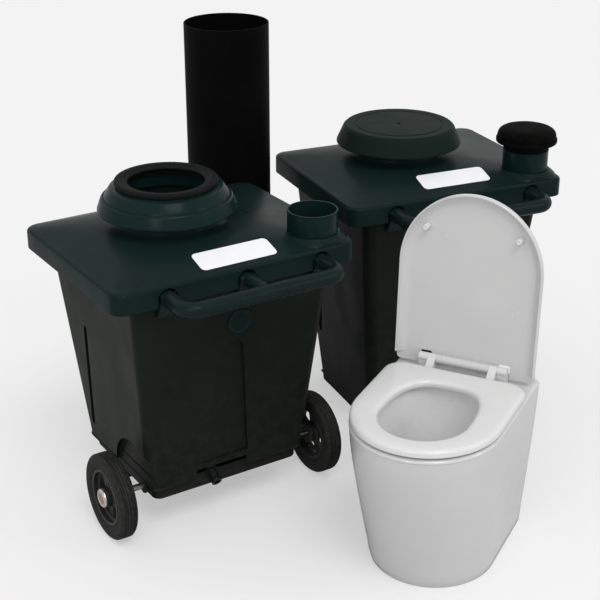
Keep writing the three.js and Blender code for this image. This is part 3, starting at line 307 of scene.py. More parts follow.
def product(tree, first, second):
    node = tree.nodes.new("ShaderNodeMath")
    node.operation = "MULTIPLY"
    for socket, value in zip(node.inputs, (first, second)):
        if isinstance(value, (int, float)):
            socket.default_value = value
        else:
            tree.links.new(value, socket)
    return node.outputs[0]


def relief(tree, shader, layers):
    # layers of (height, depth in metres), the coarsest first
    normal = None
    for height, depth in layers:
        bump = tree.nodes.new("ShaderNodeBump")
        bump.inputs["Strength"].default_value = 1.0
        bump.inputs["Distance"].default_value = depth
        tree.links.new(height, bump.inputs["Height"])
        if normal:
            tree.links.new(normal, bump.inputs["Normal"])
        normal = bump.outputs["Normal"]
    tree.links.new(normal, shader.inputs["Normal"])


def mouldedPlastic(name, look):
    material, tree, shader, spot = newFinish(name)
    cloudy = noise(tree, spot, look["cloudScale"], 4)
    tone = blended(tree, spread(tree, cloudy, 0, 1), look["colour"], look["paler"])
    grain = noise(tree, spot, look["grainScale"], 2)
    if "dust" in look:
        height = tree.nodes.new("ShaderNodeSeparateXYZ")
        tree.links.new(spot, height.inputs[0])
        low = spread(tree, height.outputs["Z"], 1, 0, look["dustFrom"], look["dustTo"])
        specks = spread(tree, noise(tree, spot, look["dustScale"], 6, 0.7), 0, 1, 0.42, 0.72)
        tone = blended(tree, product(tree, product(tree, low, specks), look["dustShare"]), tone, look["dust"])
    if "scuffs" in look:
        scuffed = spread(tree, noise(tree, stretched(tree, spot, (9, 9, 1.6)), 9, 8, 0.72), 0, 1, 0.6, 0.8)
        tone = blended(tree, product(tree, scuffed, look["scuffShare"]), tone, look["scuffs"])
    tree.links.new(tone, shader.inputs["Base Color"])
    tree.links.new(spread(tree, cloudy, look["smooth"], look["rough"]), shader.inputs["Roughness"])
    shader.inputs["Specular IOR Level"].default_value = look["shine"]
    waves = noise(tree, stretched(tree, spot, (1, 1, 0.6)), look["waveScale"], 1)
    relief(tree, shader, [(waves, look["waveDepth"]), (grain, look["grainDepth"])])
    return material


tankFinish = mouldedPlastic("tankPlastic", {
    "colour": (0.0078, 0.0114, 0.0082), "paler": (0.0102, 0.0142, 0.0106), "cloudScale": 7,
    "smooth": 0.34, "rough": 0.46, "shine": 0.06,
    "grainScale": 900, "grainDepth": 0.00004, "waveScale": 7, "waveDepth": 0.004,
    "dust": (0.052, 0.050, 0.042), "dustShare": 0.22, "dustScale": 38, "dustFrom": 0.05, "dustTo": 0.62,
    "scuffs": (0.030, 0.034, 0.030), "scuffShare": 0.18,
})
lidFinish = mouldedPlastic("lidPlastic", {
    "colour": (0.0052, 0.0142, 0.0124), "paler": (0.0070, 0.0176, 0.0154), "cloudScale": 5,
    "smooth": 0.24, "rough": 0.34, "shine": 0.05,
    "grainScale": 1100, "grainDepth": 0.00003, "waveScale": 8, "waveDepth": 0.002,
    "scuffs": (0.032, 0.045, 0.042), "scuffShare": 0.10,
})
collarFinish = mouldedPlastic("collarPlastic", {
    "colour": (0.0048, 0.0150, 0.0150), "paler": (0.0066, 0.0184, 0.0182), "cloudScale": 9,
    "smooth": 0.20, "rough": 0.28, "shine": 0.075,
    "grainScale": 1300, "grainDepth": 0.00002, "waveScale": 14, "waveDepth": 0.0008,
    "scuffs": (0.030, 0.045, 0.044), "scuffShare": 0.08,
})
coverFinish = mouldedPlastic("coverPlastic", {
    "colour": (0.0070, 0.0140, 0.0115), "paler": (0.0092, 0.0172, 0.0142), "cloudScale": 8,
    "smooth": 0.34, "rough": 0.46, "shine": 0.02,
    "grainScale": 1100, "grainDepth": 0.00003, "waveScale": 12, "waveDepth": 0.0008,
    "scuffs": (0.034, 0.044, 0.040), "scuffShare": 0.12,
})
handleFinish = mouldedPlastic("handlePlastic", {
    "colour": (0.0045, 0.0125, 0.0112), "paler": (0.0064, 0.0155, 0.0140), "cloudScale": 12,
    "smooth": 0.24, "rough": 0.34, "shine": 0.09,
    "grainScale": 1200, "grainDepth": 0.00003, "waveScale": 20, "waveDepth": 0.0008,
    "scuffs": (0.034, 0.044, 0.040), "scuffShare": 0.16,
})
trayFinish = mouldedPlastic("trayPlastic", {
    "colour": (0.0075, 0.0090, 0.0080), "paler": (0.0100, 0.0115, 0.0105), "cloudScale": 10,
    "smooth": 0.44, "rough": 0.58, "shine": 0.14,
    "grainScale": 700, "grainDepth": 0.00005, "waveScale": 12, "waveDepth": 0.001,
    "dust": (0.07, 0.065, 0.055), "dustShare": 0.30, "dustScale": 55, "dustFrom": 0.02, "dustTo": 0.17,
})
spigotFinish = mouldedPlastic("spigotPlastic", {
    "colour": (0.0045, 0.0060, 0.0062), "paler": (0.0070, 0.0095, 0.0098), "cloudScale": 40,
    "smooth": 0.28, "rough": 0.40, "shine": 0.22,
    "grainScale": 1500, "grainDepth": 0.00002, "waveScale": 60, "waveDepth": 0.0003,
})
capFinish = mouldedPlastic("capPlastic", {
    "colour": (0.0020, 0.0025, 0.0020), "paler": (0.0034, 0.0038, 0.0033), "cloudScale": 18,
    "smooth": 0.46, "rough": 0.62, "shine": 0.012,
    "grainScale": 520, "grainDepth": 0.00012, "waveScale": 18, "waveDepth": 0.0008,
    "dust": (0.04, 0.038, 0.034), "dustShare": 0.18, "dustScale": 70, "dustFrom": 0.2, "dustTo": 1.2,
})
rimFinish = mouldedPlastic("rimPlastic", {
    "colour": (0.0125, 0.0130, 0.0128), "paler": (0.0170, 0.0175, 0.0170), "cloudScale": 22,
    "smooth": 0.34, "rough": 0.48, "shine": 0.25,
    "grainScale": 1400, "grainDepth": 0.00002, "waveScale": 40, "waveDepth": 0.0004,
    "dust": (0.08, 0.075, 0.065), "dustShare": 0.28, "dustScale": 90, "dustFrom": 0.0, "dustTo": 0.3,
})


def sealRubberFinish():
    look = {"colour": (0.0058, 0.0070, 0.0064), "paler": (0.0092, 0.0104, 0.0098), "shine": 0.05}
    material, tree, shader, spot = newFinish("sealRubber")
    bloom = noise(tree, spot, 26, 6, 0.65)
    tree.links.new(blended(tree, spread(tree, bloom, 0, 1), look["colour"], look["paler"]),
                   shader.inputs["Base Color"])
    tree.links.new(spread(tree, bloom, 0.5, 0.68), shader.inputs["Roughness"])
    shader.inputs["Specular IOR Level"].default_value = look["shine"]
    relief(tree, shader, [(noise(tree, spot, 60, 2), 0.0005), (noise(tree, spot, 800, 2), 0.00008)])
    return material


def tyreFinish():
    look = {"colour": (0.0105, 0.0105, 0.0105), "paler": (0.0185, 0.0182, 0.0178),
            "dust": (0.085, 0.08, 0.07), "shine": 0.18}
    material, tree, shader, spot = newFinish("tyreRubber")
    cloudy = noise(tree, spot, 30, 6, 0.7)
    tone = blended(tree, spread(tree, cloudy, 0, 1), look["colour"], look["paler"])
    dusty = spread(tree, noise(tree, spot, 120, 6, 0.7), 0, 0.30, 0.45, 0.75)
    tree.links.new(blended(tree, dusty, tone, look["dust"]), shader.inputs["Base Color"])
    tree.links.new(spread(tree, cloudy, 0.62, 0.82), shader.inputs["Roughness"])
    shader.inputs["Specular IOR Level"].default_value = look["shine"]
    relief(tree, shader, [(noise(tree, spot, 140, 3), 0.0004), (noise(tree, spot, 900, 2), 0.00012)])
    return material


def pipeFinish():
    look = {"colour": (0.0018, 0.0016, 0.0018), "paler": (0.0034, 0.0030, 0.0034), "shine": 0.03}
    material, tree, shader, spot = newFinish("pipePlastic")
    drawn = noise(tree, stretched(tree, spot, (1, 1, 0.02)), 260, 3)    # marks along the drawing direction
    blotchy = noise(tree, spot, 9, 5)
    tree.links.new(blended(tree, spread(tree, blotchy, 0, 1), look["colour"], look["paler"]),
                   shader.inputs["Base Color"])
    tree.links.new(spread(tree, drawn, 0.5, 0.68), shader.inputs["Roughness"])
    shader.inputs["Specular IOR Level"].default_value = look["shine"]
    relief(tree, shader, [(drawn, 0.00018), (noise(tree, spot, 900, 2), 0.00005)])
    return material


def metalFinish(name, colour, darker, brushed):
    material, tree, shader, spot = newFinish(name)
    drawn = noise(tree, stretched(tree, spot, brushed), 160, 4)
    stained = noise(tree, spot, 70, 6, 0.7)
    tree.links.new(blended(tree, spread(tree, stained, 0, 1), colour, darker), shader.inputs["Base Color"])
    tree.links.new(spread(tree, drawn, 0.22, 0.42), shader.inputs["Roughness"])
    shader.inputs["Metallic"].default_value = 1.0
    relief(tree, shader, [(drawn, 0.00006)])
    return material


def whiteFinish(name, look):
    # gloss white with a faint unevenness of tone and a slow ripple in the reflections
    material, tree, shader, spot = newFinish(name)
    cloudy = noise(tree, spot, look["cloudScale"], 4)
    tone = blended(tree, spread(tree, cloudy, 0, 1), look["colour"], look["greyer"])
    tree.links.new(tone, shader.inputs["Base Color"])
    smears = noise(tree, spot, 24, 5)
    tree.links.new(spread(tree, smears, look["smooth"], look["rough"]), shader.inputs["Roughness"])
    shader.inputs["Specular IOR Level"].default_value = look["shine"]
    shader.inputs["Coat Weight"].default_value = look["coat"]
    shader.inputs["Coat Roughness"].default_value = 0.08
    waves = noise(tree, spot, look["waveScale"], 1)
    relief(tree, shader, [(waves, look["waveDepth"]), (noise(tree, spot, 1400, 2), look["grainDepth"])])
    return material


sealFinish = sealRubberFinish()
wheelRubber = tyreFinish()
pipeSkin = pipeFinish()
axleSteel = metalFinish("axleSteel", (0.36, 0.35, 0.33), (0.26, 0.25, 0.24), (0.05, 1, 1))
boltSteel = metalFinish("boltSteel", (0.55, 0.54, 0.52), (0.40, 0.38, 0.36), (1, 1, 1))
hubSteel = metalFinish("hubSteel", (0.70, 0.68, 0.66), (0.52, 0.50, 0.48), (1, 1, 1))
hubCopper = metalFinish("hubCopper", (0.55, 0.33, 0.24), (0.40, 0.22, 0.15), (1, 1, 1))
shellFinish = whiteFinish("shellGelcoat", {
    "colour": (0.625, 0.625, 0.623), "greyer": (0.600, 0.600, 0.599), "cloudScale": 5, "smooth": 0.12,
    "rough": 0.20, "shine": 0.5, "coat": 0.35, "waveScale": 6, "waveDepth": 0.002, "grainDepth": 0.00001,
})
seatFinish = whiteFinish("seatPlastic", {
    "colour": (0.735, 0.735, 0.733), "greyer": (0.710, 0.710, 0.709), "cloudScale": 9, "smooth": 0.18,
    "rough": 0.26, "shine": 0.5, "coat": 0.2, "waveScale": 8, "waveDepth": 0.0008, "grainDepth": 0.000008,
})
lidWhite = whiteFinish("toiletLidPlastic", {
    "colour": (0.635, 0.635, 0.633), "greyer": (0.610, 0.610, 0.609), "cloudScale": 6, "smooth": 0.20,
    "rough": 0.28, "shine": 0.5, "coat": 0.15, "waveScale": 7, "waveDepth": 0.0008, "grainDepth": 0.000008,
})
hingeFinish = whiteFinish("hingePlastic", {
    "colour": (0.720, 0.720, 0.718), "greyer": (0.680, 0.680, 0.680), "cloudScale": 30, "smooth": 0.28,
    "rough": 0.38, "shine": 0.5, "coat": 0.0, "waveScale": 30, "waveDepth": 0.0003, "grainDepth": 0.00001,
})
# painted light: the bowl's white is set lighter than the shell's to brighten the shade inside the bowl
bowlFinish = whiteFinish("bowlPlastic", {
    "colour": (0.815, 0.815, 0.813), "greyer": (0.785, 0.785, 0.784), "cloudScale": 8, "smooth": 0.20,
    "rough": 0.30, "shine": 0.5, "coat": 0.1, "waveScale": 10, "waveDepth": 0.0008, "grainDepth": 0.00001,
})
labelFinish = whiteFinish("labelFilm", {
    "colour": (0.900, 0.905, 0.915), "greyer": (0.870, 0.875, 0.885), "cloudScale": 25, "smooth": 0.34,
    "rough": 0.46, "shine": 0.45, "coat": 0.0, "waveScale": 30, "waveDepth": 0.0002, "grainDepth": 0.00002,
})
print("finishes made")


# Container tank: tapered moulding with a rolled lower edge, pressed forms and a rim flange

tankForm = {
    "top": 690, "topWidth": 541, "topDepth": 487,
    "foot": 130, "footWidth": 436, "footDepth": 366,
    "corner": 30, "wall": 4,
    "flangeX": 312, "flangeY": 254, "flangeThick": 6, "flangeCorner": 28, "flangeSoft": 1.2,
    "hemOut": 2.2, "hemDown": 3, "softEdge": 2.4,
    "floor": 156, "floorInset": 11, "spareFloor": 20, "spareInset": 3, "floorThick": 4,
    "holeColumns": (-90, 0, 90), "holeRows": (-45, 45), "hole": 6,
    "recess": {"top": 500, "bottom": 168, "topLeft": -31, "topRight": 22, "left": -99, "right": 48,
               "deep": 8.5, "shallow": 0.6},
    "slot": {"top": (82, 468), "bottom": (134, 178), "width": 17, "deep": 8},
    "arch": {"radius": 125, "y": -111, "z": 108, "inset": 10, "reach": 80, "softEdge": 5},
    "window": {"left": -95, "right": 45, "top": 151.5, "wallZ": 140, "cut": 60},
    "plugX": 8, "plugZ": 545, "plugHole": 27.3,
}


def halfWidthAt(z):
    taper = (tankForm["topWidth"] - tankForm["footWidth"]) / 2 / (tankForm["top"] - tankForm["foot"])
    return tankForm["footWidth"] / 2 + taper * (z - tankForm["foot"])


def halfDepthAt(z):
    taper = (tankForm["topDepth"] - tankForm["footDepth"]) / 2 / (tankForm["top"] - tankForm["foot"])
    return tankForm["footDepth"] / 2 + taper * (z - tankForm["foot"])


def taperedBlock(name, low, high, inset, corner, segments=10):
    bpy.ops.mesh.primitive_cube_add(size=2, location=(0, 0, 0))
    obj = named(name)
    for isTop, z in ((False, low), (True, high)):
        pick(obj, "VERT", lambda v: (v.co.z > 0) == isTop and abs(abs(v.co.x) - 1) < 0.01)
        bpy.ops.transform.resize(value=(halfWidthAt(z) - inset, halfDepthAt(z) - inset, 1),
                                 center_override=(0, 0, 0))
        bpy.ops.transform.translate(value=(0, 0, z - (1 if isTop else -1)))
    pick(obj, "EDGE", lambda e: abs(e.verts[0].co.z - e.verts[1].co.z) > 10)
    bpy.ops.mesh.bevel(offset=corner - inset, segments=segments, affect="EDGES")
    objectMode()
    return obj


def roundedSlab(name, halfX, halfY, corner, low, high, segments=10):
    obj = block(name, (2 * halfX, 2 * halfY, high - low), (0, 0, (low + high) / 2))
    pick(obj, "EDGE", lambda e: abs(e.verts[0].co.z - e.verts[1].co.z) > (high - low) / 2)
    bpy.ops.mesh.bevel(offset=corner, segments=segments, affect="EDGES")
    objectMode()
    return obj


def pressTool(name, outline, depths, onWall, outside=30):
    # a cutter from well outside the wall to the pressed floor; each corner has its own depth
    outer = [onWall(u, z, -outside) for u, z in outline]
    inner = [onWall(u, z, depth) for (u, z), depth in zip(outline, depths)]
    return loft(name, [outer, inner])


def onFrontWall(x, z, depth):
    return (x, -halfDepthAt(z) + depth, z)


def onSideWall(side):
    return lambda y, z, depth: (side * (halfWidthAt(z) - depth), y, z)


def recessTool(form):
    radius = (form["topRight"] - form["topLeft"]) / 2
    middle = (form["topRight"] + form["topLeft"]) / 2
    springing = form["top"] - radius
    outline = [(form["left"], form["bottom"]), (form["right"], form["bottom"])]
    depths = [form["shallow"], form["deep"]]
    for step in range(13):
        angle = math.pi * step / 12
        outline.append((middle + radius * math.cos(angle), springing + radius * math.sin(angle)))
        depths.append(form["deep"] + (form["shallow"] - form["deep"]) * step / 12)
    return pressTool("recessTool", outline, depths, onFrontWall)


def slotTool(form, side):
    # a long slot with round ends that leans back towards its foot
    radius = form["width"] / 2
    lean = math.atan2(form["top"][0] - form["bottom"][0], form["top"][1] - form["bottom"][1])
    outline = []
    for (y, z), start in ((form["top"], 0), (form["bottom"], math.pi)):
        for step in range(13):
            angle = start + math.pi * step / 12 - lean
            outline.append((y + radius * math.cos(angle), z + radius * math.sin(angle)))
    return pressTool("slotTool", outline, [form["deep"]] * len(outline), onSideWall(side))


def makeTank(name, low, floorTop, hasWheels):
    form = tankForm
    tank = taperedBlock(name, low, form["top"], 0, form["corner"])
    carve(tank, recessTool(form["recess"]))
    for side in (-1, 1):
        carve(tank, slotTool(form["slot"], side))
        if hasWheels:
            arch = form["arch"]
            x = side * (form["footWidth"] / 2 - arch["inset"] + arch["reach"] / 2)
            cutter = bar("archTool", arch["radius"], arch["reach"], (x, arch["y"], arch["z"]), "X", 96)
            softenEdges(cutter, arch["softEdge"], 4)
            carve(tank, cutter)
    pick(tank, "FACE", lambda f: abs(f.normal.z) > 0.99 and
         (f.calc_center_median().z > form["top"] - 1 or f.calc_center_median().z < low + 1))
    bpy.ops.mesh.delete(type="FACE")
    objectMode()
    if hasWheels:
        window = form["window"]
        width, cut = window["right"] - window["left"], window["cut"]
        x = (window["left"] + window["right"]) / 2
        y = -halfDepthAt(window["wallZ"])
        carve(tank, block("windowTool", (width, cut, cut), (x, y, window["top"] - cut / 2)))
    softenEdges(tank, form["softEdge"], 3, 24)
    if hasWheels:
        pick(tank, "EDGE", lambda e: e.is_boundary and max(v.co.z for v in e.verts) < low + 1)
        bpy.ops.mesh.extrude_edges_move()
        out = 1 + form["hemOut"] / halfWidthAt(low)
        bpy.ops.transform.resize(value=(out, out, 1), center_override=(0, 0, 0))
        bpy.ops.transform.translate(value=(0, 0, -form["hemDown"]))
        objectMode()
    applyModifier(tank, "SOLIDIFY", thickness=form["wall"], offset=-1, use_even_offset=False)
    plugMiddle = (form["plugX"], -halfDepthAt(form["plugZ"]), form["plugZ"])
    carve(tank, bar("plugHoleTool", form["plugHole"], 60, plugMiddle, "Y"))
    return joinAll([tank, makeFlange(), makeFloorPlate(floorTop, hasWheels)])


def makeFlange():
    form = tankForm
    top = form["top"]
    flange = roundedSlab("flange", form["flangeX"], form["flangeY"], form["flangeCorner"],
                         top - form["flangeThick"], top)
    carve(flange, taperedBlock("flangeTool", top - 40, top + 40, form["wall"], form["corner"]))
    softenEdges(flange, form["flangeSoft"], 2)
    return flange


def makeFloorPlate(top, hasHoles):
    # the front tank's floor drains into the tray under it
    form = tankForm
    inset = form["floorInset"] if hasHoles else form["spareInset"]
    plate = taperedBlock("floor", top - form["floorThick"], top, inset, form["corner"])
    if hasHoles:
        for column in form["holeColumns"]:
            for row in form["holeRows"]:
                carve(plate, bar("holeTool", form["hole"], 40, (column, row, top), "Z", 32))
    return plate


frontTank = makeTank("frontTank", tankForm["foot"], tankForm["floor"], True)
finishPiece(frontTank, "front", "front_body", tankFinish, ["front_tank"], flats=True, sharp=32)
rearTank = makeTank("rearTank", 0, tankForm["spareFloor"], False)
finishPiece(rearTank, "rear", "rear_body", tankFinish, ["rear_tank"], flats=True, sharp=32)
print("tanks made")


# Container lid: skirt, four flat slopes running into a round neck, boss for the vent

lidForm = {
    "halfX": 320, "halfY": 262, "corner": 34.8, "wall": 4, "skirtFoot": 644.3, "rim": 694.3,
    "edgeRound": 9, "seatInset": 58, "rise": 43,
    "neckX": -47, "neckY": 12, "neck": 125, "neckTop": 780.3, "seat": 690.3,
    "patch": 66, "cornerSteps": 8, "sideSteps": 12, "slopeSteps": 10, "edgeSteps": 6,
    "ventX": 240, "ventY": -183, "ventBossTop": 710.3, "ventSeat": 702.3, "ventRadius": 61, "ventBore": 57.5,
    "armX": (-191, 12, 215), "archRadius": 25, "archZ": 662, "cut": 40, "softEdge": 1.2,
}


def lidOutline(inset, corner):
    form = lidForm
    halfX = form["halfX"] - inset
    halfY = form["halfY"] - inset
    patch = max(form["patch"] - inset, corner + 1)
    signs = ((1, 1), (-1, 1), (-1, -1), (1, -1))
    points = []
    for index, (signX, signY) in enumerate(signs):
        quarter = []
        for step in range(form["cornerSteps"] + 1):
            angle = (index + step / form["cornerSteps"]) * math.pi / 2
            quarter.append((signX * (halfX - corner) + corner * math.cos(angle),
                            signY * (halfY - corner) + corner * math.sin(angle)))
        onSide = (signX * halfX, signY * (halfY - patch))
        onFront = (signX * (halfX - patch), signY * halfY)
        first, last = (onFront, onSide) if index % 2 == 1 else (onSide, onFront)
        points.append([first, *quarter, last])
    outline = []
    for index, patchPoints in enumerate(points):
        outline.extend(patchPoints)
        start = patchPoints[-1]
        end = points[(index + 1) % 4][0]
        for step in range(1, form["sideSteps"]):
            share = step / form["sideSteps"]
            outline.append((start[0] + (end[0] - start[0]) * share, start[1] + (end[1] - start[1]) * share))
    return outline


def neckCircle(radius):
    # as many points as the lid outline: a corner takes 50 degrees, a side 40
    form = lidForm
    angles = []
    for index in range(4):
        patchCount = form["cornerSteps"] + 2
        angles.extend(index * 90 + 20 + 50 * step / patchCount for step in range(patchCount + 1))
        angles.extend(index * 90 + 70 + 40 * step / form["sideSteps"] for step in range(1, form["sideSteps"]))
    return [(form["neckX"] + radius * math.cos(math.radians(angle)),
             form["neckY"] + radius * math.sin(math.radians(angle))) for angle in angles]


def between(first, second, share):
    return [tuple(a + (b - a) * share for a, b in zip(p, q)) for p, q in zip(first, second)]


def slopeRings(inset, drop):
    # from the rim to the neck, a little hollow where the slope meets the neck
    form = lidForm
    rim = level(lidOutline(form["edgeRound"] + inset, form["corner"] - 4), form["rim"] - drop)
    base = form["rim"] + form["rise"] - drop
    flare = ((17, -6.0), (11, -3.6), (6.5, -0.6), (3.2, 3.2), (1.1, 8.0), (0, 14.0))
    neck = level(neckCircle(form["neck"] + flare[0][0] - inset), base + flare[0][1])
    rings = [between(rim, neck, step / form["slopeSteps"]) for step in range(form["slopeSteps"] + 1)]
    for out, up in flare[1:]:
        rings.append(level(neckCircle(form["neck"] + out - inset), base + up))
    return rings


def makeLid(name):
    form = lidForm
    rings = [level(lidOutline(0, form["corner"]), form["skirtFoot"])]
    rings.append(level(lidOutline(0, form["corner"]), form["rim"] - form["edgeRound"]))
    for step in range(1, form["edgeSteps"]):
        angle = step / form["edgeSteps"] * math.pi / 2
        inset = form["edgeRound"] * (1 - math.cos(angle))
        z = form["rim"] - form["edgeRound"] * (1 - math.sin(angle))
        rings.append(level(lidOutline(inset, form["corner"] - inset / 2), z))
    rings.extend(slopeRings(0, 0))
    rings.append(level(neckCircle(form["neck"]), form["neckTop"] - 1))
    rings.append(level(neckCircle(form["neck"] - 1), form["neckTop"]))
    rings.append(level(neckCircle(form["neck"] - form["wall"]), form["neckTop"]))
    under = slopeRings(form["wall"], form["wall"])
    rings.extend(reversed(under[3:]))
    rings.append(level(lidOutline(form["seatInset"], form["corner"]), form["seat"]))
    innerCorner = form["corner"] - form["wall"]
    rings.append(level(lidOutline(form["wall"] + 1, innerCorner), form["seat"]))
    rings.append(level(lidOutline(form["wall"], innerCorner), form["seat"] - 2))
    rings.append(level(lidOutline(form["wall"], innerCorner), form["skirtFoot"]))
    rings.append(rings[0])
    lid = loft(name, rings, closed=True)

    boss = turn("boss", [(0, 688), (85, 688), (82.5, 696), (76, 702), (70.5, 706), (67.2, 709),
                         (66, form["ventBossTop"]), (0, form["ventBossTop"])], closed=False)
    activate(boss)
    boss.location = (form["ventX"], form["ventY"], 0)
    trim = roundedSlab("bossTrim", form["halfX"] - 3, form["halfY"] - 3, form["corner"], 600, 800)
    carve(boss, trim, "INTERSECT")
    weld(lid, boss)
    cut = form["cut"]
    carve(lid, bar("boreTool", form["ventBore"], 200, (form["ventX"], form["ventY"], 700), "Z", 96))
    carve(lid, bar("socketTool", form["ventRadius"] + play, cut,
                   (form["ventX"], form["ventY"], form["ventSeat"] + cut / 2), "Z", 96))
    for x in form["armX"]:
        y = -form["halfY"] + 12
        cutter = bar("armArchTool", form["archRadius"], cut, (x, y, form["archZ"]), "Y", 64)
        weld(cutter, block("armGapTool", (2 * form["archRadius"], cut, cut), (x, y, form["archZ"] - cut / 2)))
        carve(lid, cutter)
    softenEdges(lid, form["softEdge"], 2, 38)
    return lid


finishPair(makeLid("frontLid"), "lid", lidFinish,
           ["lid", "lid_skirt", "lid_neck", "vent_boss"], sharp=30)
print("lids made")


# Round pieces on the lids

ventForm = {"radius": 61, "wall": 3.5, "foot": 702.6, "top": 764.6, "bead": 0.6}


def makeVentSocket(name):
    form = ventForm
    foot, top = form["foot"], form["top"]
    inner, outer, bead = form["radius"] - form["wall"], form["radius"], form["radius"] + form["bead"]
    profile = [(inner, foot), (outer, foot), (outer, top - 3.4), (bead, top - 2.8), (bead, top), (inner, top)]
    return turn(name, softCorners(profile, 0.8, 3, True), 96)


ventSpot = Matrix.Translation((lidForm["ventX"], lidForm["ventY"], 0))
finishPair(makeVentSocket("frontVentSocket"), "lid", collarFinish, ["vent_socket"], ventSpot)

collarForm = {"foot": 765.3, "top": 825.3, "footRadius": 167, "shoulder": 157, "shoulderZ": 796,
              "upper": 133, "topRadius": 121, "bore": 112, "grip": 126.4, "seat": 780.6, "wall": 4}


def makeCollar():
    form = collarForm
    foot, top, wall = form["foot"], form["top"], form["wall"]
    bore, grip, ring = form["bore"], form["grip"], form["footRadius"]
    shoulder, z = form["shoulder"], form["shoulderZ"]
    profile = [
        (bore, form["seat"]), (grip, form["seat"]), (grip, foot), (grip + wall, foot),
        (grip + wall, top - 9), (shoulder - 18, top - 13), (shoulder - 5, z - 3),
        (ring - wall, foot), (ring, foot), (ring, foot + 4),
        (shoulder + 1, z - 2), (shoulder - 1.5, z + 1.2), (shoulder - 4.5, z + 1.6),
        (shoulder - 5.2, z + 0.2), (shoulder - 6.6, z + 0.4), (shoulder - 7.4, z + 4),
        (shoulder - 11, z + 10), (form["upper"] + 3, top - 4), (form["topRadius"], top), (bore, top),
    ]
    return turn("frontCollar", softCorners(profile, 2.0, 4, True), 128)


sealForm = {"foot": 825.6, "radius": 124, "hole": 92, "height": 14, "lip": 111.7}


def makeSeal():
    form = sealForm
    foot, high = form["foot"], form["height"]
    lip, radius, hole = form["lip"], form["radius"], form["hole"]
    profile = [
        (lip, foot - 15), (lip, foot), (radius - 2, foot), (radius, foot + 4),
        (radius, foot + 10.5), (radius - 3.5, foot + high), (radius - 16, foot + high - 0.9),
        (radius - 18, foot + high - 2.2), (hole + 4, foot + 9), (hole, foot + 8),
        (hole, foot + 3.5), (lip - 5, foot - 2), (lip - 5, foot - 15),
    ]
    return turn("frontSeal", softCorners(profile, 1.8, 4, True), 128)


coverForm = {"foot": 765.3, "top": 815.3, "footRadius": 170, "topRadius": 151, "line": 119, "hole": 4,
             "grip": 126.4, "seat": 780.6, "wall": 4}


def makeCover():
    form = coverForm
    foot, top, wall, seat = form["foot"], form["top"], form["wall"], form["seat"]
    grip, ring, edge = form["grip"], form["footRadius"], form["topRadius"]
    line, hole = form["line"], form["hole"]
    profile = [
        (hole, top - wall), (grip - 8, top - wall), (grip - 8, seat), (grip, seat), (grip, foot),
        (grip + wall, foot), (grip + wall, top - wall), (edge - 8, top - wall),
        (ring - wall, foot), (ring, foot), (ring, foot + 4),
        (edge + 1, top - 6), (edge - 6, top),
        (line + 5, top - 0.6), (line + 1.2, top - 1.0), (line, top - 2.6),
        (line - 1.6, top - 1.0), (line - 3.5, top - 0.2), (line - 8, top),
        (hole + 14, top - 0.4), (hole + 3, top - 0.8), (hole, top - 2.0),
    ]
    return turn("rearCover", softCorners(profile, 1.6, 4, True), 128)


neckSpot = Matrix.Translation((lidForm["neckX"], lidForm["neckY"], 0))
finishPiece(makeCollar(), "front", "front_collar", collarFinish,
            ["front_inlet_collar"], neckSpot)
finishPiece(makeSeal(), "front", "front_collar", sealFinish, ["front_inlet_seal"], neckSpot)
finishPiece(makeCover(), "rear", "rear_cover", coverFinish, ["rear_closing_cover"], neckSpot)

capForm = {"foot": 764.6, "height": 61, "radius": 79, "bead": 82, "tube": 57.2, "bore": 53.2, "tubeFoot": -14,
           "windows": 6, "window": (20, 16, 20), "windowReach": 58, "windowZ": 30.5}


def makeCap():
    form = capForm
    low, high = form["foot"], form["height"]
    tube, bore, tubeFoot = form["tube"], form["bore"], form["tubeFoot"]
    dome = [(0, high), (22, high - 0.2), (42, high - 0.9), (57, high - 2.4), (67, high - 5.6),
            (73.5, high - 10), (77.4, high - 16), (78.8, high - 22)]
    skirt = [(form["radius"], 33.4), (77.4, 32.6), (77.4, 31.4), (form["bead"], 30.2),
             (form["bead"], 21.6), (80.6, 19.2), (77, 17.7)]
    inside = [(74.3, 17.7), (74.3, 39), (62, 48.8), (61, 48.8), (61, play), (tube, play), (tube, tubeFoot),
              (bore, tubeFoot), (bore, 48.8), (0, 48.8)]
    profile = softCorners([(r, low + z) for r, z in dome + skirt + inside], 1.4, 3, False)
    cap = turn("rearVentCap", profile, 96, closed=False)
    for index in range(form["windows"]):
        angle = index / form["windows"] * 2 * math.pi
        cutter = block("windowTool", form["window"], (0, 0, 0), 3)
        reach = form["windowReach"]
        cutter.location = (reach * math.cos(angle), reach * math.sin(angle), low + form["windowZ"])
        cutter.rotation_euler = (0, 0, angle)
        carve(cap, cutter)
    return cap


finishPiece(makeCap(), "rear", "rear_cap", capFinish,
            ["rear_vent_cap", "rear_vent_cap_tube"], ventSpot)

plateForm = {"width": 200, "depth": 64, "thick": 1.2, "corner": 12, "slope": 16.6,
             "front": (9, -210), "rear": (12, -192)}


def makeLabel(name, spot):
    form = plateForm
    plate = roundedSlab(name, form["width"] / 2, form["depth"] / 2, form["corner"],
                        play, play + form["thick"], 8)
    softenEdges(plate, 0.5, 2, 40)
    slope = math.radians(form["slope"])
    z = lidForm["rim"] + (spot[1] + lidForm["halfY"] - lidForm["edgeRound"]) * math.tan(slope)
    return plate, Matrix.Translation((spot[0], spot[1], z)) @ Matrix.Rotation(slope, 4, "X")


for group in ("front", "rear"):
    plate, plateSpot = makeLabel(group + "Label", plateForm[group])
    finishPiece(plate, group, group + "_lid", labelFinish,
                [group + "_label_plate"], plateSpot, flats=True)
print("round pieces and plates made")


# Handle: a bent bar with three arms and a bracket under each, moulded in one

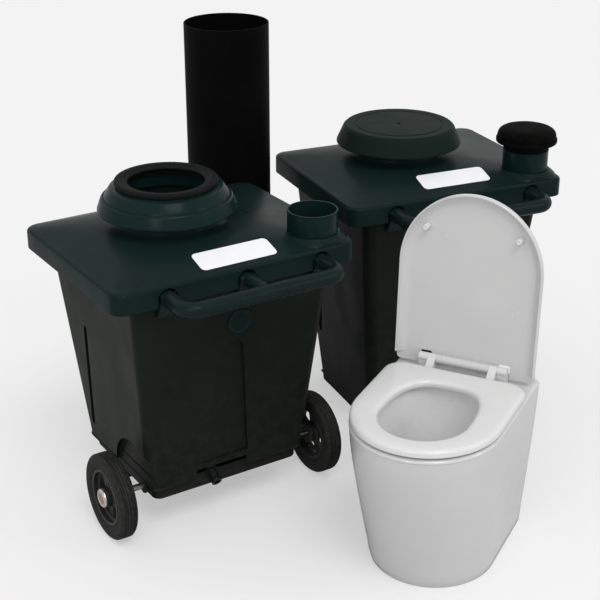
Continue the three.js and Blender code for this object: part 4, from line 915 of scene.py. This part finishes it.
handleForm = {"x": 12, "z": 662, "reach": 111, "bar": 19, "arm": 17, "spacing": 203, "bend": 36,
              "bracketWidth": 40, "bracketFoot": 610, "bracketReach": 26, "bracketLip": 9,
              "armGap": 0.4, "bracketGap": 0.5, "voxel": 2.6,
              "wall": ((-400, 560), (400, 560), (400, 720), (-400, 720)), "wallGap": 0.3, "wallDeep": 60}


def sweep(name, path, radius, sides=28):
    rings = []
    for i, point in enumerate(path):
        along = (Vector(path[min(i + 1, len(path) - 1)]) - Vector(path[max(i - 1, 0)])).normalized()
        across = Vector((-along.y, along.x, 0))
        ring = []
        for step in range(sides):
            angle = step / sides * 2 * math.pi
            up = Vector((0, 0, radius * math.sin(angle)))
            ring.append(tuple(Vector(point) + across * radius * math.cos(angle) + up))
        rings.append(ring)
    return loft(name, rings)


def makeBracket(x):
    form = handleForm
    top = form["z"] + form["arm"] * 0.7
    foot = form["bracketFoot"]
    topY = -halfDepthAt(top) - form["bracketGap"]
    footY = -halfDepthAt(foot) - form["bracketGap"]
    side = [(footY, foot), (topY, top), (topY - form["bracketReach"], top),
            (topY - form["bracketReach"], form["z"] - form["arm"] / 2), (footY - form["bracketLip"], foot)]
    half = form["bracketWidth"] / 2
    return loft("bracket", [upright(side, x - half), upright(side, x + half)])


def makeHandle(name):
    form = handleForm
    wallY = -halfDepthAt(form["z"] + form["arm"]) - form["armGap"]
    barY = -halfDepthAt(form["z"]) - form["reach"]
    half = [(form["spacing"], wallY)]
    for step in range(13):
        angle = step / 12 * math.pi / 2
        half.append((form["spacing"] - form["bend"] + form["bend"] * math.cos(angle),
                     barY + form["bend"] - form["bend"] * math.sin(angle)))
    path = [(form["x"] + x, y, form["z"]) for x, y in half]
    path += [(form["x"] - x, y, form["z"]) for x, y in reversed(half)]
    pieces = [sweep(name, path, form["bar"])]
    pieces.append(bar("arm", form["arm"], wallY - barY, (form["x"], (wallY + barY) / 2, form["z"]), "Y"))
    for offset in (-form["spacing"], 0, form["spacing"]):
        pieces.append(makeBracket(form["x"] + offset))
    handle = joinAll(pieces)
    applyModifier(handle, "REMESH", mode="VOXEL", voxel_size=form["voxel"], use_smooth_shade=True)
    applyModifier(handle, "SMOOTH", factor=0.5, iterations=5)
    depths = [-form["wallGap"]] * len(form["wall"])
    carve(handle, pressTool("wallTool", form["wall"], depths, onFrontWall, -form["wallDeep"]))
    return handle


finishPair(makeHandle("frontHandle"), "body", handleFinish, ["handle"], sharp=50)
print("handles made")


# Round wall plug

plugForm = {"x": 8, "z": 545, "radius": 33, "thick": 5, "dish": 2.6,
            "stem": 27, "stemWall": 5, "stemLength": 12}


def makePlug(name):
    form = plugForm
    radius, thick, dish = form["radius"], form["thick"], form["dish"]
    stem, bore, end = form["stem"], form["stem"] - form["stemWall"], -form["stemLength"]
    profile = [(0, dish), (radius - 8.5, dish), (radius - 6.5, dish + 0.8), (radius - 5.4, thick),
               (radius - 1.4, thick), (radius, thick - 1.4), (radius, play), (stem, play),
               (stem, end), (bore, end), (bore, -1), (0, -1)]
    return turn(name, softCorners(profile, 0.8, 3, False), 96, closed=False)


wallRun = (tankForm["topDepth"] - tankForm["footDepth"]) / 2
wallTilt = math.atan(wallRun / (tankForm["top"] - tankForm["foot"]))
plugSpot = Matrix.Translation((plugForm["x"], -halfDepthAt(plugForm["z"]), plugForm["z"])) @ \
    Matrix.Rotation(math.pi / 2 + wallTilt, 4, "X")
finishPair(makePlug("frontPlug"), "plug", handleFinish, ["wall_plug"], plugSpot)
print("plugs made")


# Base tray, drain spigot, axle and bushes

trayForm = {"halfX": 203.3, "halfY": 171, "corner": 22, "bottom": 92, "top": 151.7, "wall": 4,
            "edgeRound": 5, "notchLeft": -119, "notchRight": 69, "notchZ": 133, "notchCut": 60,
            "bushHole": 13.5, "spigotHole": 10.8,
            "legX": 156.3, "legY": 126, "legWidth": 46, "legDepth": 42, "legRound": 8, "legOverlap": 2}


def makeTray():
    form = trayForm
    wall, bottom, top = form["wall"], form["bottom"], form["top"]
    tray = roundedSlab("frontBaseTray", form["halfX"], form["halfY"], form["corner"], bottom, top, 10)
    softenEdges(tray, form["edgeRound"], 4, 60)
    carve(tray, roundedSlab("trayTool", form["halfX"] - wall, form["halfY"] - wall,
                            form["corner"] - wall, bottom + wall, top + 30, 10))
    width, cut = form["notchRight"] - form["notchLeft"], form["notchCut"]
    notchMiddle = ((form["notchLeft"] + form["notchRight"]) / 2, -form["halfY"], form["notchZ"] + cut / 2)
    carve(tray, block("notchTool", (width, cut / 2, cut), notchMiddle, 4))
    arch = tankForm["arch"]
    carve(tray, bar("bushTool", form["bushHole"], 500, (0, arch["y"], arch["z"]), "X"))
    for side in (-1, 1):
        high = bottom + form["legOverlap"]
        leg = block("leg", (form["legWidth"], form["legDepth"], high),
                    (side * form["legX"], form["legY"], high / 2))
        pick(leg, "EDGE", isUpright)
        bpy.ops.mesh.bevel(offset=form["legRound"], segments=5, affect="EDGES")
        objectMode()
        weld(tray, leg)
    carve(tray, bar("spigotTool", form["spigotHole"], 60,
                    (spigotForm["x"], -form["halfY"], spigotForm["z"]), "Y"))
    softenEdges(tray, 0.9, 2, 40)
    return tray


spigotForm = {"x": -49, "z": 129, "tilt": 30, "flange": 16, "flangeThick": 3, "radius": 13.5, "core": 12,
              "bore": 8, "length": 35, "stem": 10.5, "stemLength": 16}


def makeSpigot():
    form = spigotForm
    bore, core, radius, end = form["bore"], form["core"], form["radius"], form["length"]
    barrel = [(bore, -8), (core, -8), (core, end - 8), (radius, end - 6.6), (radius, end - 1.2),
              (radius - 1.2, end), (bore + 1, end), (bore, end - 1)]
    spout = turn("frontDrainSpigot", softCorners(barrel, 0.7, 3, True), 48)
    spout.rotation_euler = (math.radians(form["tilt"]), 0, 0)
    activate(spout)
    bpy.ops.object.transform_apply(location=True, rotation=True, scale=True)
    stem, flange, face = form["stem"], form["flange"], play + form["flangeThick"]
    stemEnd = -form["stemLength"]
    stub = [(bore, stemEnd), (stem, stemEnd), (stem, play), (flange, play), (flange, face), (bore, face)]
    root = turn("spigotRoot", softCorners(stub, 0.8, 3, True), 48)
    carve(spout, block("behindTool", (80, 80, 40), (0, 0, play - 20)))
    return joinAll([spout, root])


finishPiece(makeTray(), "front", "front_body", trayFinish, ["front_base_tray"], flats=True)
spigotSpot = Matrix.Translation((spigotForm["x"], -trayForm["halfY"], spigotForm["z"])) @ \
    Matrix.Rotation(math.pi / 2, 4, "X")
finishPiece(makeSpigot(), "front", "front_body", spigotFinish,
            ["front_drain_spigot"], spigotSpot)

wheelForm = {"x": 292, "y": -111, "z": 108, "radius": 108, "width": 45, "bead": 72, "rimWidth": 38,
             "hub": 24, "hubWidth": 44, "web": 8, "ring": 63, "axle": 8, "axleEnd": 4,
             "ribs": (13.2, 8.2, 0.0, -8.2, -13.2), "ribDepth": 2.6,
             "spokes": 5, "openingShare": 0.29, "openingOuter": 57.5, "openingInner": 29.5}
toX = Matrix.Rotation(math.pi / 2, 4, "Y")


def makeAxle():
    half = wheelForm["x"] + wheelForm["hubWidth"] / 2 + wheelForm["axleEnd"]
    radius = wheelForm["axle"]
    groove = radius - 0.8
    ends = [(0, half), (radius - 1.5, half), (radius, half - 1.5), (radius, half - 7), (groove, half - 7.6),
            (groove, half - 9.4), (radius, half - 10)]
    profile = ends + [(r, -z) for r, z in reversed(ends)]
    return turn("frontAxle", profile, 48, closed=False)


def makeBush(name):
    radius = wheelForm["axle"] + play
    profile = [(radius, -8), (13, -8), (13, play), (20, play), (20, 5), (radius, 5)]
    return turn(name, softCorners(profile, 1.0, 3, True), 64)


axleSpot = Matrix.Translation((0, wheelForm["y"], wheelForm["z"]))
finishPiece(makeAxle(), "front", "front_body", axleSteel, ["front_axle"], axleSpot @ toX)
bushLeft = makeBush("frontAxleBushLeft")
bushRight = copyOf(bushLeft, "frontAxleBushRight")
for hand, side, bush in (("left", -1, bushLeft), ("right", 1, bushRight)):
    outward = Matrix.Translation((side * trayForm["halfX"], 0, 0))
    finishPiece(bush, "front", "front_body", trayFinish, ["front_axle_bush_" + hand],
                outward @ axleSpot @ Matrix.Rotation(side * math.pi / 2, 4, "Y"))
print("tray and axle made")


# Wheels: ribbed tyre, spoked rim and hub cap

def makeTyre(name):
    form = wheelForm
    half = form["width"] / 2
    radius = form["radius"]
    bead = form["bead"] + play
    side = [(bead, 17), (bead + 3, 19.6), (bead + 7, 20.4), (bead + 8.2, 21.8), (bead + 9.6, 21.8),
            (bead + 10.8, 21.2), (radius - 16, half), (radius - 10, half),
            (radius - 4, 19.5), (radius - 1, 16.2)]
    tread = []
    deep = radius - form["ribDepth"]
    for middle in form["ribs"]:
        tread += [(radius, middle + 1.2), (deep, middle + 0.5), (deep, middle - 0.5), (radius, middle - 1.2)]
    profile = side + tread + [(r, -z) for r, z in reversed(side)]
    return turn(name, softCorners(profile, 0.7, 2, True), 128)


def makeRim(name):
    form = wheelForm
    half, web, end = form["rimWidth"] / 2, form["web"] / 2, form["hubWidth"] / 2
    bore, hub, ring, bead = form["axle"] + play, form["hub"], form["ring"], form["bead"]
    face = [(bore, end), (hub - 3, end), (hub, end - 3), (hub + 1, web + 4), (hub + 5, web),
            (ring - 4, web), (ring, web + 4), (ring + 0.6, half - 1.5), (ring + 2, half),
            (bead - 1.5, half), (bead, half - 1.5)]
    profile = face + [(r, -z) for r, z in reversed(face)]
    rim = turn(name, profile, 96)
    pitch = 2 * math.pi / form["spokes"]
    opening = pitch * form["openingShare"]
    outer, inner = form["openingOuter"], form["openingInner"]
    for index in range(form["spokes"]):
        start = index * pitch
        outline = []
        for share in (-1, -0.75, -0.5, -0.25, 0, 0.25, 0.5, 0.75, 1):
            angle = start + opening * share
            outline.append((outer * math.cos(angle), outer * math.sin(angle)))
        for share in (1, 0.5, 0, -0.5, -1):
            angle = start + opening * 0.7 * share
            outline.append((inner * math.cos(angle), inner * math.sin(angle)))
        cutter = loft("spokeTool", [level(outline, -30), level(outline, 30)])
        pick(cutter, "EDGE", lambda e: isUpright(e) and e.calc_face_angle(0) > 0.8)
        bpy.ops.mesh.bevel(offset=4, segments=4, affect="EDGES")
        objectMode()
        carve(rim, cutter)
    softenEdges(rim, 0.9, 2, 40)
    return rim


def makeHubCap(name):
    bore, radius = wheelForm["axle"] + play, wheelForm["hub"]
    profile = [(0, 8), (10, 7.8), (13, 7.0), (14, 5.6), (15.2, 5.4), (16.4, 7.0), (18, 7.4), (21.4, 6.2),
               (radius - 0.6, 3.6), (radius, play), (bore, play), (bore, 4.3), (0, 4.3)]
    cap = turn(name, softCorners(profile, 0.7, 3, False), 64, closed=False)
    cap.data.materials.append(hubSteel)
    cap.data.materials.append(hubCopper)
    pick(cap, "FACE", lambda f: f.calc_center_median().xy.length < 14.2 and f.calc_center_median().z > 5)
    cap.active_material_index = 1
    bpy.ops.object.material_slot_assign()
    objectMode()
    return cap


tyreLeft = makeTyre("frontWheelTyreLeft")
rimLeft = makeRim("frontWheelRimLeft")
hubLeft = makeHubCap("frontHubCapLeft")
tyreRight = copyOf(tyreLeft, "frontWheelTyreRight")
rimRight = copyOf(rimLeft, "frontWheelRimRight")
hubRight = copyOf(hubLeft, "frontHubCapRight")
for hand, side, wheelTyre, wheelRim, hubCap in (("left", -1, tyreLeft, rimLeft, hubLeft),
                                               ("right", 1, tyreRight, rimRight, hubRight)):
    centre = Matrix.Translation((side * wheelForm["x"], wheelForm["y"], wheelForm["z"]))
    facing = Matrix.Rotation(side * math.pi / 2, 4, "Y")
    body = "wheel_" + hand
    finishPiece(wheelTyre, "front", body, wheelRubber, ["front_wheel_tyre_" + hand], centre @ facing)
    finishPiece(wheelRim, "front", body, rimFinish, ["front_wheel_rim_" + hand],
                centre @ facing, flats=True)
    outward = Matrix.Translation((side * wheelForm["hubWidth"] / 2, 0, 0))
    finishPiece(hubCap, "front", body, None, ["front_hub_cap_" + hand], outward @ centre @ facing)
print("wheels made")


# Drop pipe

pipeForm = {"radius": 113, "wall": 4, "length": 1096, "rings": (270, 540, 810)}


def makePipe():
    form = pipeForm
    radius, length = form["radius"], form["length"]
    inner = radius - form["wall"]
    profile = [(inner, 0), (radius - 2, 0), (radius, 2)]
    profile += [(radius, z) for z in form["rings"]]
    profile += [(radius, length - 1.2), (radius - 1.2, length), (inner + 0.8, length), (inner, length - 0.8)]
    profile += [(inner, z) for z in reversed(form["rings"])]
    return turn("dropPipe", profile, 128)


finishPiece(makePipe(), "pipe", "drop_pipe", pipeSkin, ["drop_pipe"])
print("pipe made")


# Pedestal: D-shaped shell, bowl insert, seat and lid on a hinge

outlineSteps = {"side": 8, "corner": 8, "back": 10, "front": 72}
frontShare = 1.05


def dOutline(halfWidth, back, front, corner):
    steps = outlineSteps
    frontDepth = halfWidth * frontShare
    shoulder = front + frontDepth
    straight = halfWidth - corner
    points = []
    for i in range(steps["side"]):
        points.append((halfWidth, shoulder + (back - corner - shoulder) * i / steps["side"]))
    for i in range(steps["corner"] + 1):
        angle = i / steps["corner"] * math.pi / 2
        points.append((straight + corner * math.cos(angle), back - corner + corner * math.sin(angle)))
    for i in range(1, steps["back"]):
        points.append((straight - 2 * straight * i / steps["back"], back))
    for i in range(steps["corner"] + 1):
        angle = math.pi / 2 + i / steps["corner"] * math.pi / 2
        points.append((-straight + corner * math.cos(angle), back - corner + corner * math.sin(angle)))
    for i in range(1, steps["side"] + 1):
        points.append((-halfWidth, back - corner + (shoulder - back + corner) * i / steps["side"]))
    for i in range(1, steps["front"]):
        angle = math.pi + i / steps["front"] * math.pi
        points.append((halfWidth * math.cos(angle), shoulder + frontDepth * math.sin(angle)))
    return points


def eggOutline(halfWidth, back, front, middle=None, backShare=1.0):
    # a back share below one squares the back of the egg
    steps = outlineSteps
    middle = front + halfWidth * frontShare if middle is None else middle
    backCount = 2 * steps["side"] + 2 * steps["corner"] + steps["back"]
    angles = [math.pi * i / backCount for i in range(backCount + 1)]
    angles += [math.pi + i / steps["front"] * math.pi for i in range(1, steps["front"])]
    points = []
    for angle in angles:
        across, along = math.cos(angle), math.sin(angle)
        if along > 0:
            across = math.copysign(abs(across) ** backShare, across)
            points.append((halfWidth * across, middle + (back - middle) * along ** backShare))
        else:
            points.append((halfWidth * across, middle + (middle - front) * along))
    return points


def mouthOutline(halfWidth, back, front):
    return eggOutline(halfWidth, back, front, None, 0.7)


shellForm = {"height": 396, "width": 350, "depth": 490, "footWidth": 300, "footDepth": 382, "wall": 6,
             "backCorner": 16, "rimRound": 9, "back": 245,
             "profile": ((0, 0), (0.3, 0.36), (0.62, 0.71), (0.86, 0.93), (1, 1)),
             "openingWidth": 236, "openingFront": -208, "openingBack": 108, "levels": 16, "rimSteps": 6}


def profileShare(heightShare):
    points = shellForm["profile"]
    for (h0, w0), (h1, w1) in zip(points, points[1:]):
        if heightShare <= h1:
            return w0 + (w1 - w0) * (heightShare - h0) / (h1 - h0)
    return 1.0


def smoothShare(heightShare):
    # evens out the corners of the profile
    reach = 0.09
    low = max(0.0, heightShare - reach)
    high = min(1.0, heightShare + reach)
    return sum(profileShare(low + (high - low) * i / 8) for i in range(9)) / 9


def shellRing(share, z, inset):
    form = shellForm
    halfWidth = (form["footWidth"] + (form["width"] - form["footWidth"]) * share) / 2 - inset
    depth = form["footDepth"] + (form["depth"] - form["footDepth"]) * share
    corner = max(form["backCorner"] - inset, 4)
    return level(dOutline(halfWidth, form["back"] - inset, form["back"] - depth + inset, corner), z)


def makeShell():
    form = shellForm
    height = form["height"]
    opening = mouthOutline(form["openingWidth"] / 2, form["openingBack"], form["openingFront"])
    wall, rim = form["wall"], form["rimRound"]
    rings = [shellRing(0, 0, 3), shellRing(0, 0, 1), shellRing(0, 1, 0)]
    levels = [height * i / form["levels"] for i in range(1, form["levels"])]
    for z in levels + [height - rim - 2, height - rim]:
        rings.append(shellRing(smoothShare(z / height), z, 0))
    for step in range(1, form["rimSteps"] + 1):
        angle = step / form["rimSteps"] * math.pi / 2
        rings.append(shellRing(1, height - rim * (1 - math.sin(angle)), rim * (1 - math.cos(angle))))
    deckEdge = rings[-1]
    for share in (0.5, 0.97):
        rings.append(between(deckEdge, level(opening, height), share))
    rings.append(level(opening, height - 1.5))
    rings.append(level(opening, height - wall))
    under = shellRing(1, height - wall, wall)
    rings.append(between(level(opening, height - wall), under, 0.5))
    rings.append(under)
    for z in reversed(levels):
        rings.append(shellRing(smoothShare(z / height), z, wall))
    rings.append(shellRing(0, 0, wall))
    rings.append(rings[0])
    return loft("pedestalShell", rings, closed=True)


bowlForm = {"flange": 9, "flangeFoot": 396.3, "flangeTop": 399.3,
            "outlet": 104, "outletY": -22, "outletTop": 110,
            "bottom": 14, "wall": 3, "power": 1.31, "levels": 14}


def bowlRing(heightShare, z, inset):
    form = bowlForm
    shell = shellForm
    rim = mouthOutline(shell["openingWidth"] / 2 - play - inset, shell["openingBack"] - play - inset,
                       shell["openingFront"] + play + inset)
    radius = form["outlet"] - inset
    outlet = eggOutline(radius, form["outletY"] + radius, form["outletY"] - radius, form["outletY"])
    share = 1 - (1 - heightShare) ** form["power"]
    return level(between(outlet, rim, share), z)


def makeBowl():
    form = bowlForm
    shell = shellForm
    wall, top = form["wall"], form["flangeTop"]
    shares = [i / form["levels"] for i in range(form["levels"])]

    def side(share, inset):
        return bowlRing(share, form["outletTop"] + (top - form["outletTop"]) * share, inset)

    def flange(grow, z):
        halfWidth = shell["openingWidth"] / 2 + grow
        return level(mouthOutline(halfWidth, shell["openingBack"] + grow, shell["openingFront"] - grow), z)

    rings = [bowlRing(0, form["bottom"], 0)]
    rings += [side(share, 0) for share in shares]
    rings.append(bowlRing(0.99, form["flangeFoot"], 0))
    rings += [flange(form["flange"], form["flangeFoot"]), flange(form["flange"], top - 1),
              flange(form["flange"] - 1, top), flange(0, top)]
    rings.append(bowlRing(1, top - 0.8, wall - 1))
    rings += [side(share, wall) for share in reversed(shares)]
    rings.append(bowlRing(0, form["bottom"], wall))
    rings.append(rings[0])
    return loft("pedestalBowl", rings, closed=True)


finishPiece(makeShell(), "pedestal", "pedestal", shellFinish, ["pedestal_shell"], sharp=45)
finishPiece(makeBowl(), "pedestal", "pedestal", bowlFinish,
            ["pedestal_bowl", "pedestal_bowl_outlet"], sharp=45)

hingeForm = {"y": 179, "z": 428, "knuckle": 10.5, "pin": 4, "barrelHalf": 66, "seatKnuckle": 19,
             "postX": 97.6, "postWidth": 24, "postDepth": 19, "postHeight": 31.7, "stud": 4}
seatForm = {"halfWidth": 173, "back": 153, "front": -244, "corner": 44, "bottom": 402, "top": 420,
            "hole": 103, "holeFront": -191, "holeBack": 84,
            "outerRound": 9, "innerRound": 10, "roundSteps": 8}


def pinHole(length, x=0, y=hingeForm["y"], z=hingeForm["z"]):
    return bar("pinTool", hingeForm["pin"] + play, length, (x, y, z), "X", 32)


def makeSeatKnuckle(side):
    form = seatForm
    bottom, top = form["bottom"], form["top"]
    width, y, z = hingeForm["seatKnuckle"], hingeForm["y"], hingeForm["z"]
    x = side * (hingeForm["barrelHalf"] + play + width / 2)
    barrel = bar("knuckle", hingeForm["knuckle"], width, (x, y, z), "X", 48)
    profile = [(y, z - 10.4), (y, z + 7.4), (y - 7.4, z + 7.4), (form["back"] + 2, top - 1),
               (form["back"] - 8, top - 2), (form["back"] - 8, bottom + 2), (form["back"] + 2, bottom + 2)]
    weld(barrel, loft("knuckleArm", [upright(profile, x - width / 2), upright(profile, x + width / 2)]))
    softenEdges(barrel, 1.2, 2, 35)
    return barrel


def makeSeat():
    form = seatForm
    bottom, top = form["bottom"], form["top"]
    outerRound, innerRound = form["outerRound"], form["innerRound"]

    def outer(inset, z):
        return level(dOutline(form["halfWidth"] - inset, form["back"] - inset, form["front"] + inset,
                              form["corner"]), z)

    def inner(grow, z):
        return level(mouthOutline(form["hole"] + grow, form["holeBack"] + grow, form["holeFront"] - grow), z)

    rings = [outer(4, bottom), outer(1.2, bottom + 0.4), outer(0, bottom + 2), outer(0, bottom + 5),
             outer(0.5, bottom + 6), outer(0.3, bottom + 8)]
    angles = [step / form["roundSteps"] * math.pi / 2 for step in range(1, form["roundSteps"])]
    for angle in angles:
        rings.append(outer(0.3 + outerRound * (1 - math.cos(angle)),
                           top - 0.8 - outerRound * (1 - math.sin(angle))))
    rings.append(outer(15, top - 0.2))
    crownOuter = outer(24, top)
    crownInner = inner(15, top - 0.5)
    rings += [crownOuter, between(crownOuter, crownInner, 0.5), crownInner]
    for angle in angles:
        rings.append(inner(innerRound - innerRound * math.sin(angle),
                           top - 1.2 - innerRound * (1 - math.cos(angle))))
    rings += [inner(0, bottom + 4), inner(0.5, bottom + 1), inner(2.5, bottom), rings[0]]
    seat = loft("pedestalSeat", rings, closed=True)
    for side in (-1, 1):
        weld(seat, makeSeatKnuckle(side))
    carve(seat, pinHole(300))
    return seat


finishPiece(makeSeat(), "pedestal", "seat", seatFinish, ["pedestal_seat"], sharp=40)

toiletLidForm = {"halfWidth": 173, "length": 439, "overhang": 22, "wall": 4, "depth": 20, "rise": 12,
                 "round": 6, "roundSteps": 6, "corner": 10, "lean": 3, "crown": (9, 30, 60, 95, 130, 165),
                 "bumperX": 112, "bumperReach": 325, "bumperHeight": 20, "postPlay": 2, "notchRound": 4}


def makeToiletLid():
    # drawn closed, with the hinge line along X through the origin
    form = toiletLidForm
    front = form["overhang"] - form["length"]
    top = form["rise"] + form["wall"]
    foot = top - form["depth"]

    def ring(inset, z, backInset=None):
        corner = max(form["corner"] - inset, 2.5)
        back = form["overhang"] - (inset if backInset is None else backInset)
        return level(dOutline(form["halfWidth"] - inset, back, front + inset, corner), z)

    rings = [ring(inset, form["rise"] + (0.6 if inset > 60 else 0.3)) for inset in (165, 130, 95, 60, 30)]
    hollow = ((25, 0.1), (21.5, 0.5), (18, 1.6), (14, 3.8), (10, 6.9), (7, 10), (5, 12.8), (4.2, 14.4))
    for inset, drop in hollow:
        rings.append(ring(inset, form["rise"] - drop, 4.5))
    rings += [ring(4, foot + 0.8), ring(3.4, foot),
              ring(0.8, foot), ring(0, foot + 0.8), ring(0, foot + 5), ring(0, top - form["round"])]
    for step in range(1, form["roundSteps"]):
        angle = step / form["roundSteps"] * math.pi / 2
        rings.append(ring(form["round"] * (1 - math.cos(angle)), top - form["round"] * (1 - math.sin(angle))))
    rings += [ring(inset, top) for inset in form["crown"]]
    lid = loft("toiletLid", rings)
    carve(lid, block("rearTool", (2 * form["halfWidth"] + 20, 2 * form["overhang"], form["depth"]),
                     (0, form["overhang"], form["rise"] - form["depth"] / 2 - play)))
    for side in (-1, 1):
        reach = hingeForm["postDepth"] / 2 + form["postPlay"]
        depth = reach + form["overhang"] + 20
        notch = block("notchTool", (hingeForm["postWidth"] + 2 * form["postPlay"], depth, 60),
                      (side * hingeForm["postX"], depth / 2 - reach, foot + 28))
        pick(notch, "EDGE", lambda e: isUpright(e) and e.verts[0].co.y < 0)
        bpy.ops.mesh.bevel(offset=form["notchRound"], segments=4, affect="EDGES")
        objectMode()
        carve(lid, notch)
    return joinAll([lid, makeLidBarrel()])


def makeLidBarrel():
    length, radius = 2 * hingeForm["barrelHalf"], hingeForm["knuckle"]
    high = toiletLidForm["rise"] + 2
    web = block("web", (length, radius * 1.1, high), (0, 0, high / 2))
    barrel = bar("barrel", radius, length, (0, 0, 0), "X", 64)
    weld(barrel, web)
    carve(barrel, pinHole(400, 0, 0, 0))
    softenEdges(barrel, 0.8, 2, 50)
    return barrel


lidHinge = Matrix.Translation((0, hingeForm["y"], hingeForm["z"])) @ \
    Matrix.Rotation(-math.radians(90 + toiletLidForm["lean"]), 4, "X")
finishPiece(makeToiletLid(), "pedestal", "toilet_lid", lidWhite, ["pedestal_lid"], lidHinge,
            sharp=40, flats=True)


def makeBumper(name, height):
    profile = [(0, 0.3), (7.4, 0.3), (8, 0.9), (7.6, height * 0.4), (6.9, height - 1.8), (5.6, height - 0.4),
               (3.4, height - 0.3), (2.6, height - 1.2), (0, height - 1.2)]
    return turn(name, softCorners(profile, 0.6, 3, False), 40, closed=False)


seatBumperForm = {"x": 132, "height": 6, "ends": (("back", 60), ("front", -125))}
for hand, side in (("left", -1), ("right", 1)):
    form = toiletLidForm
    lidBumper = makeBumper("lidBumper" + hand.title(), form["bumperHeight"])
    spot = Matrix.Translation((side * form["bumperX"], -form["bumperReach"], form["rise"]))
    finishPiece(lidBumper, "pedestal", "toilet_lid", hingeFinish,
                ["pedestal_lid_bumper_" + hand], lidHinge @ spot @ Matrix.Rotation(math.pi, 4, "X"))
    for end, y in seatBumperForm["ends"]:
        seatBumper = makeBumper("seatBumper" + end.title() + hand.title(), seatBumperForm["height"])
        finishPiece(seatBumper, "pedestal", "pedestal", hingeFinish,
                    ["pedestal_seat_bumper_" + end + "_" + hand],
                    Matrix.Translation((side * seatBumperForm["x"], y, shellForm["height"])))


def makePost(name, side):
    form = hingeForm
    x, y, z = side * form["postX"], form["y"], form["z"]
    height, stud = form["postHeight"], form["stud"]
    post = block(name, (form["postWidth"] - 1, form["postDepth"] - 3, height), (x, y, z - height / 2))
    weld(post, bar("head", form["knuckle"], form["postWidth"], (x, y, z), "X", 48))
    softenEdges(post, 2.4, 4, 40)
    pin = turn("stud", [(0, -20), (stud, -20), (stud, 2), (0, 2)], 32, closed=False)
    pin.location = (x, y, z - height - play)
    weld(post, pin)
    carve(post, pinHole(18, x - side * 4))
    return post


for hand, side in (("left", -1), ("right", 1)):
    finishPiece(makePost("hingePost" + hand.title(), side), "pedestal", "pedestal",
                hingeFinish, ["pedestal_hinge_post_" + hand], flats=True)
print("pedestal made")


# Fasteners and the hidden grate keep their own meshes and get a better finish

for name, finish in (("handle_bolt", boltSteel), ("hinge_pin", axleSteel), ("hinge_nut", hingeFinish),
                     ("drain_grate", trayFinish)):
    for nodeName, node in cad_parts.items():
        if name in nodeName:
            for slotted in node.material_slots:
                slotted.material = finish
print("fasteners finished")


# Studio: pale floor and background, a soft sun from the upper right and two soft lamps

studio = {
    "floor": 0.47, "floorBounce": 0.64, "background": 0.905, "fill": 0.72, "floorGlow": 0.43,
    "sunStrength": 1.0, "sunAngle": 28, "sunTilt": (34, 0, -10), "lampAim": (0, 0, 0.5),
    "leftLamp": {"place": (-3.0, -2.2, 2.4), "size": 0.7, "power": 14},
    "rightLamp": {"place": (2.6, -3.2, 2.8), "size": 0.8, "power": 15},
}


def makeFloor():
    # the camera sees a glowing floor, so that the shadows on it stay faint
    bpy.ops.mesh.primitive_grid_add(x_subdivisions=8, y_subdivisions=8, size=60, location=(0, 0, 0))
    floor = named("studioFloor")
    material, tree, shader, spot = newFinish("studioPaper")
    path = tree.nodes.new("ShaderNodeLightPath")
    bounce = (studio["floorBounce"],) * 3
    seen = (studio["floor"],) * 3
    tree.links.new(blended(tree, path.outputs["Is Camera Ray"], bounce, seen), shader.inputs["Base Color"])
    shader.inputs["Roughness"].default_value = 0.9
    shader.inputs["Specular IOR Level"].default_value = 0.0
    shader.inputs["Emission Color"].default_value = (1, 1, 1, 1)
    tree.links.new(product(tree, path.outputs["Is Camera Ray"], studio["floorGlow"]),
                   shader.inputs["Emission Strength"])
    floor.data.materials.append(material)


def makeWorld():
    world = bpy.data.worlds.new("studioWorld")
    bpy.context.scene.world = world
    world.use_nodes = True
    tree = world.node_tree
    background = tree.nodes["Background"]
    path = tree.nodes.new("ShaderNodeLightPath")
    seen = path.outputs["Is Camera Ray"]
    background.inputs["Color"].default_value = (1, 1, 1, 1)
    strength = spread(tree, seen, studio["fill"], studio["background"], 0, 1)
    tree.links.new(strength, background.inputs["Strength"])


def makeLamps():
    bpy.ops.object.light_add(type="SUN", location=(0, 0, 3))
    sun = bpy.context.object
    sun.name = "softSun"
    sun.data.energy = studio["sunStrength"]
    sun.data.angle = math.radians(studio["sunAngle"])
    sun.rotation_euler = [math.radians(angle) for angle in studio["sunTilt"]]
    for name in ("leftLamp", "rightLamp"):
        bpy.ops.object.light_add(type="AREA", location=studio[name]["place"])
        lamp = bpy.context.object
        lamp.name = name
        lamp.data.size = studio[name]["size"]
        lamp.data.energy = studio[name]["power"]
        aim = Vector(studio["lampAim"]) - Vector(studio[name]["place"])
        lamp.rotation_euler = aim.to_track_quat("-Z", "Y").to_euler()


def makeCamera():
    view = {"place": (-1.80845, -2.54345, 1.86457), "pitch": 24.0, "heading": 32.6, "lens": 80.4}
    bpy.ops.object.camera_add(location=view["place"],
                              rotation=(math.radians(90 - view["pitch"]), 0, -math.radians(view["heading"])))
    camera = bpy.context.object
    camera.data.lens = view["lens"]
    camera.data.sensor_width = 36
    bpy.context.scene.camera = camera


makeFloor()
makeWorld()
makeLamps()
makeCamera()
bpy.context.scene.view_settings.view_transform = "Standard"
print("studio made")
